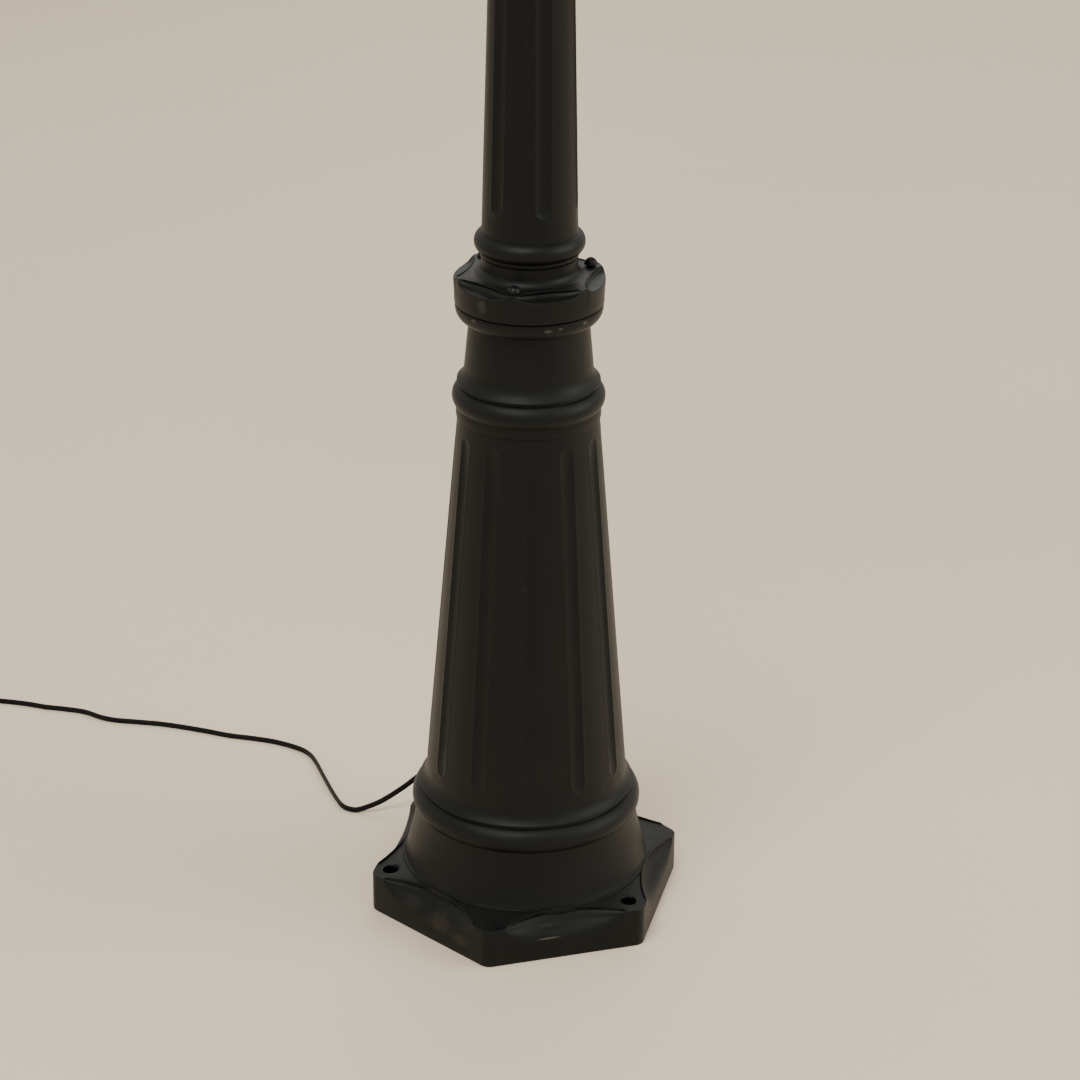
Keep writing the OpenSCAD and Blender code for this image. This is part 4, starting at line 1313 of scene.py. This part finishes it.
@dataclass
class PanScrew:
    """A cross-head screw with a domed pan head.

    Attributes:
        head_r: The head's radius.
        head_h: The head's height.
        shank_r: The shank's radius.
        shank_h: The shank's length.
    """

    head_r: float = 5.8
    head_h: float = 5.8
    shank_r: float = 3.0
    shank_h: float = 35.0

    def mesh(self) -> bmesh.types.BMesh:
        """The screw, upright, with its head's underside at height 0.

        Returns:
            The closed solid, in metres.
        """
        dome = [(self.head_r * math.cos(a), self.head_h * math.sin(a))
                for a in [math.radians(18 + 6.5 * i) for i in range(11)]]
        outline = eased([(0.0, -self.shank_h, 0.0), (self.shank_r, -self.shank_h, 0.5),
                         (self.shank_r, 0.0, 0.0), (self.head_r, 0.0, 0.25),
                         *[(r, z, 0.0) for r, z in dome], (0.0, self.head_h, 0.0)])
        return spun(outline, 40, closed=False)

    def recess(self, turn: float) -> list[bmesh.types.BMesh]:
        """The two crossed slots of the recess, as cutters.

        Args:
            turn: The angle that the screw was left at, in degrees.

        Returns:
            One cutter for each slot, in the screw's own place.
        """
        arm, half, floor = 0.52 * self.head_r, 0.13 * self.head_r, 0.42 * self.head_h
        outline = [(-arm, -half), (arm, -half), (arm, half), (-arm, half)]
        taper = [(-arm * 0.8, -half * 0.8), (arm * 0.8, -half * 0.8), (arm * 0.8, half * 0.8),
                 (-arm * 0.8, half * 0.8)]
        made = []
        for quarter in (0, 90):
            slot = prism(outline, floor, self.head_h + 2)
            low = sorted(slot.verts, key=lambda v: v.co.z)[:4]
            for vert, (x, y) in zip(sorted(low, key=lambda v: math.atan2(v.co.y, v.co.x)), taper):
                vert.co.x, vert.co.y = x * MM, y * MM
            made.append(moved(slot, spin_z(turn + quarter)))
        return made


@dataclass
class CollarScrews:
    """The three blackened screws that hold the column's collar down."""

    levels: Heights
    ring: float = 54.0
    turns: tuple[float, ...] = (18.0, 63.0, 40.0)
    lifts: tuple[float, ...] = (1.8, 0.0, 0.3)
    screw: PanScrew = field(default_factory=PanScrew)

    def build(self) -> bpy.types.Object:
        """Builds the screws, each turned as it was left.

        Returns:
            The three screws, as one piece.
        """
        meshes, cuts = [], []
        for k, (turn, lift) in enumerate(zip(self.turns, self.lifts)):
            place = spin_z(120 * k) @ shift(self.ring, 0, self.levels.collar + lift)
            meshes.append(moved(self.screw.mesh(), place))
            cuts += [moved(cutter, place) for cutter in self.screw.recess(turn)]
        piece = finished(joined(meshes), "collar_screw_set", POST, BLACKED, ["collar_screws"])
        return carved(piece, cuts)


@dataclass
class Capital:
    """The turned cap on top of the column, which carries the clock.

    Attributes:
        levels: The post's heights.
        socket_r: The radius of the socket for the column's top.
        disc_r: The radius of the disc under the clock.
        bore_r: The radius of the hole for the cable.
    """

    levels: Heights
    socket_r: float = 25.0
    skirt_r: float = 31.8
    disc_r: float = 48.0
    bore_r: float = 14.2

    def build(self) -> bpy.types.Object:
        """Builds the capital.

        Returns:
            The casting.
        """
        low, base, top = self.levels.straight - 22, self.levels.straight, self.levels.capital
        bell = [(r, z, 0.0) for r, z in arc(self.disc_r, base + 16, self.disc_r - self.skirt_r + 1,
                                            180, 100, 14)]
        bead = [(r, z, 0.0) for r, z in arc(self.skirt_r - 2, base, 8, -80, 80, 14)]
        outline = eased([(self.socket_r, low, 0.3), (self.skirt_r, low, 1.0),
                         (self.skirt_r, base - 8, 0.0), *bead, (self.skirt_r - 1, base + 9, 0.4),
                         *bell, (self.disc_r, base + 34, 0.8), (self.disc_r, top, 1.2),
                         (self.bore_r, top, 0.0), (self.bore_r, base, 0.0),
                         (self.socket_r, base, 0.0)], closed=True)
        return finished(spun(outline, 128), "capital_casting", POST, COATED_ALLOY, ["capital"])


# ---------------------------------------------------------------- the cord


ROUTE_MM = (
    (0, 143.97, 76), (0, 150.97, 76), (-4, 160.97, 74), (-14, 169.97, 67), (-32, 170, 53),
    (-47, 170, 42), (-62, 170, 31), (-74, 170, 23), (-93, 171, 12), (-108, 173, 6),
    (-118, 176, 2.7), (-125, 181, 2.7), (-129, 189, 2.7), (-131, 205, 2.7), (-132, 222, 2.7),
    (-133, 251, 2.7), (-134, 282, 2.7), (-137, 299, 2.7), (-145, 313, 2.7), (-163, 331, 2.7),
    (-184, 345, 2.7), (-205, 357, 2.7), (-229, 375, 2.7), (-262, 397, 2.7), (-288, 410, 2.7),
    (-309, 420, 2.7), (-322, 430, 2.7), (-336, 446, 2.7), (-355, 458, 2.7), (-372, 467, 2.7),
    (-391, 480, 2.7), (-415, 493, 2.7), (-435, 503, 2.7), (-455, 513, 2.7),
)
TAIL_MM = ((-478, 516.5, 8.1), (-486, 516.5, 7.6), (-494, 516.5, 7.0), (-500, 516.5, 6.85),
           (-508, 516.5, 6.85))


@dataclass
class PowerCord:
    """The flat twin flex from the gland at the foot's rear to the plug, its spare length coiled.

    Attributes:
        width: The flex's greater width, which stands upright.
        thickness: Its lesser width.
        coil_middle: The middle of the coil on the floor.
        coil_r: The radius of the coil's outer turn.
        turns: How many turns each of the coil's two layers has.
        pitch: From one turn to the next.
        layer: From one layer to the next.
        groove: The depth of the groove between the two cores.
    """

    width: float = 5.4
    thickness: float = 3.0
    coil_middle: Point = (-470.0, 482.0)
    coil_r: float = 34.5
    turns: int = 3
    pitch: float = 3.0
    layer: float = 5.4
    groove: float = 0.45

    def line(self) -> list[Vector]:
        """The flex's centreline, in metres, about 4 mm from point to point.

        Returns:
            The points, from the gland to the plug.
        """
        marks = [Vector(p) * MM for p in (*ROUTE_MM, *self._coil(), *TAIL_MM)]
        made = []
        for i in range(len(marks) - 1):
            a, b = marks[i], marks[i + 1]
            before = marks[i - 1] if i else a * 2 - b
            after = marks[i + 2] if i + 2 < len(marks) else b * 2 - a
            steps = max(1, round((b - a).length / (4 * MM)))
            straight = i == 0 or i == len(marks) - 2
            for k in range(steps):
                t = k / steps
                if straight:
                    made.append(a.lerp(b, t))
                    continue
                m0, m1 = (b - before) / 2, (after - a) / 2
                made.append(a * (2 * t ** 3 - 3 * t ** 2 + 1) + m0 * (t ** 3 - 2 * t ** 2 + t)
                            + b * (3 * t ** 2 - 2 * t ** 3) + m1 * (t ** 3 - t ** 2))
        rest = self.width / 2 * MM
        return [Vector((p.x, p.y, max(p.z, rest))) for p in [*made, marks[-1]]]

    def _coil(self) -> list[tuple[float, float, float]]:
        """The coil: in along the floor, then out again on top.

        Returns:
            Points, in millimetres, between the route and the tail.
        """
        cx, cy = self.coil_middle
        start = math.atan2(ROUTE_MM[-1][1] - cy, ROUTE_MM[-1][0] - cx)
        inward = round(24 * self.turns)
        outward = inward + round(24 * (math.pi / 2 - start) / TURN)
        spread = self.pitch * self.turns
        made = []
        for k in range(1, inward + outward + 1):
            a = start + TURN * k / 24
            share = k / inward if k <= inward else 1 - (k - inward) / outward
            rise = self.layer * smooth_step((k - inward) / 9)
            r = self.coil_r - spread * share
            made.append((cx + r * math.cos(a), cy + r * math.sin(a), ROUTE_MM[-1][2] + rise))
        return made

    def build(self, pieces: Sequence[bpy.types.Object]) -> bpy.types.Object:
        """Args:
            pieces: The pieces that go with it; not used.

        Returns:
            The flex.
        """
        line = self.line()
        half_w, half_t = self.width / 2 * MM, self.thickness / 2 * MM
        flat = half_w - half_t
        waist = half_t - self.groove * MM
        upper = [(half_t * c, half_t * s + flat) for c, s in arc(0, 0, 1, -20, 200, 11)]
        section = [*upper, (-waist, 0.0), *[(-c, -s) for c, s in upper], (waist, 0.0)]
        bm = bmesh.new()
        rings = []
        for i, point in enumerate(line):
            along = (line[min(i + 1, len(line) - 1)] - line[max(i - 1, 0)]).normalized()
            side = along.cross(Vector((0, 0, 1))).normalized()
            up = side.cross(along)
            ring = bmesh.ops.create_circle(bm, segments=len(section), radius=half_t)["verts"]
            for vert, (s, u) in zip(ring, section):
                vert.co = point + side * s + up * u
            edges = list({e for v in ring for e in v.link_edges})
            if rings:
                bmesh.ops.bridge_loops(bm, edges=rings[-1] + edges)
            rings.append(edges)
        for loop in (rings[0], rings[-1]):
            bmesh.ops.holes_fill(bm, edges=loop)
        bmesh.ops.recalc_face_normals(bm, faces=bm.faces)
        flex = finished(bm, "power_flex", POST, BLACK_PVC, ["cord_tube", "cord_coil", "cord_tail"])
        return flex


@dataclass
class CordEnds:
    """What is moulded on the flex or grips it: the relief at the gland and the plug.

    Attributes:
        start: How far behind the post's axis the relief starts.
        collar: Where its collar ends and its ribs start.
        end: Where it ends.
        height: The height of its axis.
        wide_r: Its radius at the first rib.
        narrow_r: Its radius at its end.
        ribs: How many ribs it has.
        plug_body: The length of the plug's body.
        slots: How many slots its grip has.
    """

    start: float = 108.97
    collar: float = 113.97
    end: float = 143.97
    height: float = 76.0
    wide_r: float = 6.0
    narrow_r: float = 3.9
    ribs: int = 6
    plug_body: float = 35.0
    slots: int = 4

    def relief(self) -> bpy.types.Object:
        """The tapered relief, cut into ribs, that the flex leaves the gland through.

        Returns:
            The relief.
        """
        outline = [(0.0, self.start, 0.0), (6.2, self.start, 0.3), (6.2, self.collar, 0.3)]
        first = self.collar + 1.03
        for k in range(self.ribs):
            y = first + k * (self.end - first - 3.0) / self.ribs
            share = (y - self.collar) / (self.end - self.collar)
            r = self.wide_r - (self.wide_r - self.narrow_r) * share
            outline += [(r - 1.1, y, 0.3), (r - 1.1, y + 1.5, 0.3), (r, y + 1.8, 0.4),
                        (r - 0.2, y + 4.2, 0.4)]
        outline += [(self.narrow_r, self.end, 0.6), (0.0, self.end, 0.0)]
        bm = moved(spun(eased(outline), 40, closed=False), shift(0, 0, self.height),
                   Matrix.Rotation(-math.pi / 2, 4, "X"))
        return finished(bm, "strain_relief_ribbed", POST, BLACK_PVC, ["strain_relief"])

    def plug(self) -> list[bpy.types.Object]:
        """The moulded two-pin plug, with grip ribs and sleeved pins.

        Returns:
            The moulded body and the pins.
        """
        low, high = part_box("plug")
        middle, top = (low[1] + high[1]) / 2 / MM, high[2] / MM
        half = (high[1] - low[1]) / 2 / MM
        tail, face = high[0] / MM, high[0] / MM - self.plug_body
        outline = eased([(tail, middle - 5, 1.5), (tail - 9, middle - 6.5, 4.0),
                         (face + 6, middle - half, 3.0), (face, middle - half, 2.0),
                         (face, middle + half, 2.0), (face + 6, middle + half, 3.0),
                         (tail - 9, middle + 6.5, 4.0), (tail, middle + 5, 1.5)], closed=True)
        body = prism(outline, low[2] / MM, top, 1.6)
        cuts = [moved(prism([(-0.7, -20), (0.7, -20), (0.7, 20), (-0.7, 20)], top - 0.7, top + 3),
                      shift(tail - 12 - 3.4 * k, middle, 0)) for k in range(self.slots)]
        shell = carved(finished(body, "plug_body", POST, BLACK_ABS, ["plug"]), cuts)
        pins = []
        for side in (-1, 1):
            y = middle + side * min(9.5, half - 4)
            pin = eased([(0.0, 0.0, 0.0), (2.4, 0.0, 0.0), (2.4, 9.5, 0.2), (2.0, 9.8, 0.0),
                         (2.0, 17.4, 0.0), (1.2, 19.0, 0.4), (0.0, 19.0, 0.0)])
            pins.append(moved(spun(pin, 24, closed=False), shift(face, y, (low[2] / MM + top) / 2),
                              Matrix.Rotation(-math.pi / 2, 4, "Y")))
        return [shell, finished(joined(pins), "plug_pins", POST, TURNED_BRASS, ["plug"])]


# ---------------------------------------------------------------- the dials


LETTER_WIDTHS = {"I": 7.6, "V": 20.0, "X": 20.0}  # millimetres along the dial, gaps included
NUMERALS = ("XII", "I", "II", "III", "IIII", "V", "VI", "VII", "VIII", "IX", "X", "XI")


@dataclass
class DialPrint:
    """The minute track and the Roman numerals on one dial.

    Attributes:
        face: How far in front of the post's axis the dial's face is.
        levels: The post's heights.
        track_r: The radii of the minute track's rings.
        numeral_r: The radius of the numerals' middles.
        numeral_h: Their height.
        stroke: The width of their thick strokes.
        relief: How far they stand out.
        ring_half: Half the width of the track's rings.
        thin_half: Half the width of the numerals' thin strokes.
        slant: How far a slanted stroke leans to either side.
        serif: How far a serif runs past its stroke.
        hour_tick_half: Half the width of the ticks at the hours.
        minute_tick_half: Half the width of the others.
    """

    face: float
    levels: Heights
    track_r: tuple[float, float] = (160.0, 172.0)
    numeral_r: float = 134.0
    numeral_h: float = 34.0
    stroke: float = 5.2
    relief: float = 0.35
    ring_half: float = 0.7
    thin_half: float = 1.2
    slant: float = 6.4
    serif: float = 1.3
    hour_tick_half: float = 1.9
    minute_tick_half: float = 0.6

    def build(self, side: Side) -> bpy.types.Object:
        """Builds the print of one side.

        Args:
            side: The side that it is for.

        Returns:
            The print.
        """
        ring, up = self.ring_half, self.relief
        parts = [spun([(r - ring, 0), (r + ring, 0), (r + ring, up), (r - ring, up)], 180)
                 for r in self.track_r]
        inner, outer = self.track_r
        for minute in range(60):
            half = self.hour_tick_half if minute % 5 == 0 else self.minute_tick_half
            tick = [(-half, inner), (half, inner), (half, outer), (-half, outer)]
            parts.append(moved(prism(tick, 0, self.relief), spin_z(-6 * minute)))
        for hour, letters in enumerate(NUMERALS):
            parts += [moved(stroke, spin_z(-30 * hour), shift(0, self.numeral_r, 0))
                      for stroke in self._numeral(letters)]
        bm = moved(joined(parts), side.turn(), shift(0, -self.face, self.levels.clock), FORWARD)
        return finished(bm, side.node("dial_print"), POST, ANODISED)

    def _numeral(self, letters: str) -> list[bmesh.types.BMesh]:
        """The strokes and serifs of one numeral, upright about its own middle.

        Args:
            letters: The numeral.

        Returns:
            A solid for each stroke and serif, in metres.
        """
        total = sum(LETTER_WIDTHS[c] for c in letters)
        x, made = -total / 2, []
        for letter in letters:
            made += self._letter(letter, x + LETTER_WIDTHS[letter] / 2)
            x += LETTER_WIDTHS[letter]
        return made

    def _letter(self, letter: str, x: float) -> list[bmesh.types.BMesh]:
        """The strokes of one letter about a middle at x.

        Args:
            letter: I, V or X.
            x: The middle, in millimetres.

        Returns:
            A solid for each stroke and serif, in metres.
        """
        h, w = self.numeral_h / 2, self.stroke / 2
        thin, lean = self.thin_half, self.slant
        slants = {"I": [(0.0, 0.0, w)], "V": [(-lean, 0.0, w), (lean, 0.0, thin)],
                  "X": [(-lean, lean, w), (lean, -lean, thin)]}[letter]
        made = []
        for top, bottom, half in slants:
            made.append(prism([(x + bottom - half, -h), (x + bottom + half, -h),
                               (x + top + half, h), (x + top - half, h)], 0, self.relief))
            for at, foot in ((h, top), (-h, bottom)):
                reach = half + self.serif
                bar = [(x + foot - reach, at - 0.7), (x + foot + reach, at - 0.7),
                       (x + foot + reach, at + 0.7), (x + foot - reach, at + 0.7)]
                made.append(prism(bar, 0, self.relief * 0.99))
        return made


@dataclass
class ClockHead:
    """The drum's outside and inside, which keep their CAD shapes and take their finishes here."""

    levels: Heights

    def build(self) -> list[bpy.types.Object]:
        """Dresses the head's nodes and adds the print of both dials.

        Returns:
            The two prints.
        """
        dressed(COATED_ALLOY, "drum_case", "finial")
        dressed(BLACKED, "head_bolts")
        dressed(BLACK_ABS, "driver_box", "cord_gland")
        dressed(CREAM_NYLON, "terminal_block")
        dressed(WHITE_PVC, "riser_cable")
        dressed(BLACK_PVC, "inner_lead")
        dressed(ZINCED, "bracket_screws", "capital_set_screws", "chassis_plate", "chassis_screws",
                "terminal_bracket")
        for side in Side:
            self._dress_side(side)
        return [DialPrint(self._face(side), self.levels).build(side) for side in Side]

    def _face(self, side: Side) -> float:
        """How far in front of the post's axis one side's dial faces, in millimetres."""
        low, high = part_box(side.node("dial"))
        return max(-low[1], high[1]) / MM

    def _dress_side(self, side: Side) -> None:
        """Gives one side's nodes their finishes.

        Args:
            side: The side.
        """
        dressed(COATED_ALLOY, side.node("bezel"))
        dressed(FLOAT_GLASS, side.node("glass"))
        dressed(SEAL_RUBBER, side.node("glass_bead"))
        dressed(OPAL, side.node("dial"))
        dressed(ANODISED, side.node("hour_hand"), side.node("minute_hand"))
        dressed(TURNED_BRASS, side.node("bezel_knob"), side.node("hand_nut"),
                side.node("hour_pipe"), side.node("minute_wheel"))
        dressed(ZINCED, side.node("hinge_pin"), side.node("minute_arbor"), side.node("wheel_stud"),
                side.node("dial_screws"), side.node("movement_screws"), side.node("motor"))
        dressed(GREY_ABS, side.node("movement_case"))
        dressed(LAMP_BOARD, side.node("led_panel"))


# ---------------------------------------------------------------- the set


@dataclass
class Studio:
    """The pale floor, the soft lamps and the camera.

    Attributes:
        eye: Where the camera is, in metres.
        right: The direction to the picture's right.
        up: The direction to the picture's top.
        lens: The camera's focal length for a sensor 36 mm wide.
        floor_r: The radius of the floor, in metres.
    """

    eye: tuple[float, float, float] = (-0.71478, -2.44115, 1.51456)
    right: tuple[float, float, float] = (0.95949, -0.28161, 0.00784)
    up: tuple[float, float, float] = (0.11037, 0.40133, 0.90926)
    lens: float = 106.667
    floor_r: float = 45.0

    def camera(self) -> bpy.types.Object:
        """Builds the camera.

        Returns:
            The camera.
        """
        data = bpy.data.cameras.new("camera")
        data.lens, data.sensor_width, data.clip_start, data.clip_end = self.lens, 36.0, 0.05, 50.0
        camera = bpy.data.objects.new("camera", data)
        bpy.context.scene.collection.objects.link(camera)
        right, up = Vector(self.right), Vector(self.up)
        turned = Matrix((right, up, right.cross(up))).transposed().to_4x4()
        camera.matrix_world = Matrix.Translation(self.eye) @ turned
        bpy.context.scene.camera = camera
        return camera

    def floor(self) -> bpy.types.Object:
        """Builds the pale floor, which is wide enough to fill every view.

        Returns:
            The floor.
        """
        bm = bmesh.new()
        bmesh.ops.create_circle(bm, cap_ends=True, segments=96, radius=self.floor_r)
        mesh = bpy.data.meshes.new("floor")
        bm.to_mesh(mesh)
        bm.free()
        mesh.materials.append(self._paper())
        floor = bpy.data.objects.new("floor", mesh)
        bpy.context.scene.collection.objects.link(floor)
        return floor

    def _paper(self) -> bpy.types.Material:
        """Matt paper, with the faintest mottle of painted shade in darker clouds.

        Returns:
            The material.
        """
        made = bpy.data.materials.new("studio_paper")
        made.use_nodes = True
        tree = made.node_tree
        tree.nodes.clear()
        place = add_node(tree, "TexCoord").outputs["Object"]
        cloud = add_node(tree, "TexNoise", links={"Vector": place}, values={
            "Scale": 1.2, "Detail": 2.0}).outputs["Fac"]
        # painted shade: darker clouds over the floor colour, standing in for uneven light
        colour = add_node(tree, "MixRGB", links={"Fac": cloud}, values={
            "Color1": linear(Shade.FLOOR), "Color2": linear(Shade.FLOOR_PAINTED_SHADE)})
        shader = add_node(tree, "BsdfPrincipled", links={"Base Color": colour.outputs["Color"]},
                          values={"Roughness": 0.95, "Specular IOR Level": 0.1})
        add_node(tree, "OutputMaterial", links={"Surface": shader.outputs["BSDF"]})
        return made

    def lamps(self) -> list[bpy.types.Object]:
        """Builds the soft boxes and the even light of the room.

        Returns:
            The lamps.
        """
        made = []
        for name, place, aim, size, power, tint in (
                ("key", (-1.3, -1.3, 3.6), (0, 0, 0.4), 1.8, 92.0, (1.0, 0.98, 0.94)),
                ("fill", (3.0, -1.4, 2.2), (0, 0, 0.6), 2.6, 70.0, (1.0, 0.98, 0.95)),
                ("back", (1.2, 3.0, 3.0), (0, 0, 0.8), 2.4, 44.0, (1.0, 0.98, 0.95))):
            data = bpy.data.lights.new(name, "AREA")
            data.size, data.energy, data.color = size, power, tint
            lamp = bpy.data.objects.new(name, data)
            bpy.context.scene.collection.objects.link(lamp)
            line = Vector(place) - Vector(aim)
            lamp.matrix_world = (Matrix.Translation(place)
                                 @ line.to_track_quat("Z", "Y").to_matrix().to_4x4())
            made.append(lamp)
        world = bpy.data.worlds.new("room")
        bpy.context.scene.world = world
        world.use_nodes = True
        tree = world.node_tree
        sky = tree.nodes["Background"]
        sky.inputs["Color"].default_value = (0.94, 0.89, 0.815, 1.0)
        aim = add_node(tree, "TexCoord").outputs["Generated"]
        height = add_node(tree, "SeparateXYZ", links={"Vector": aim}).outputs["Z"]
        dimming = add_node(tree, "MapRange", links={"Value": height}, values={
            "From Min": 0.2, "From Max": 0.9, "To Min": 1.02, "To Max": 0.5})
        tree.links.new(dimming.outputs["Result"], sky.inputs["Strength"])
        return made


def main() -> None:
    """Builds the clock, piece by piece, and its set."""
    logging.basicConfig(level=logging.INFO, format="%(message)s")
    studio = Studio()
    studio.camera()
    levels = Heights()
    ends = CordEnds()
    PowerCord().build([ends.relief(), *ends.plug()])
    studio.floor()
    studio.lamps()
    BasePlate(levels).build()
    Pedestal(levels).build()
    Column(levels).build()
    CollarScrews(levels).build()
    Capital(levels).build()
    ClockHead(levels).build()


if __name__ == "__main__":
    main()
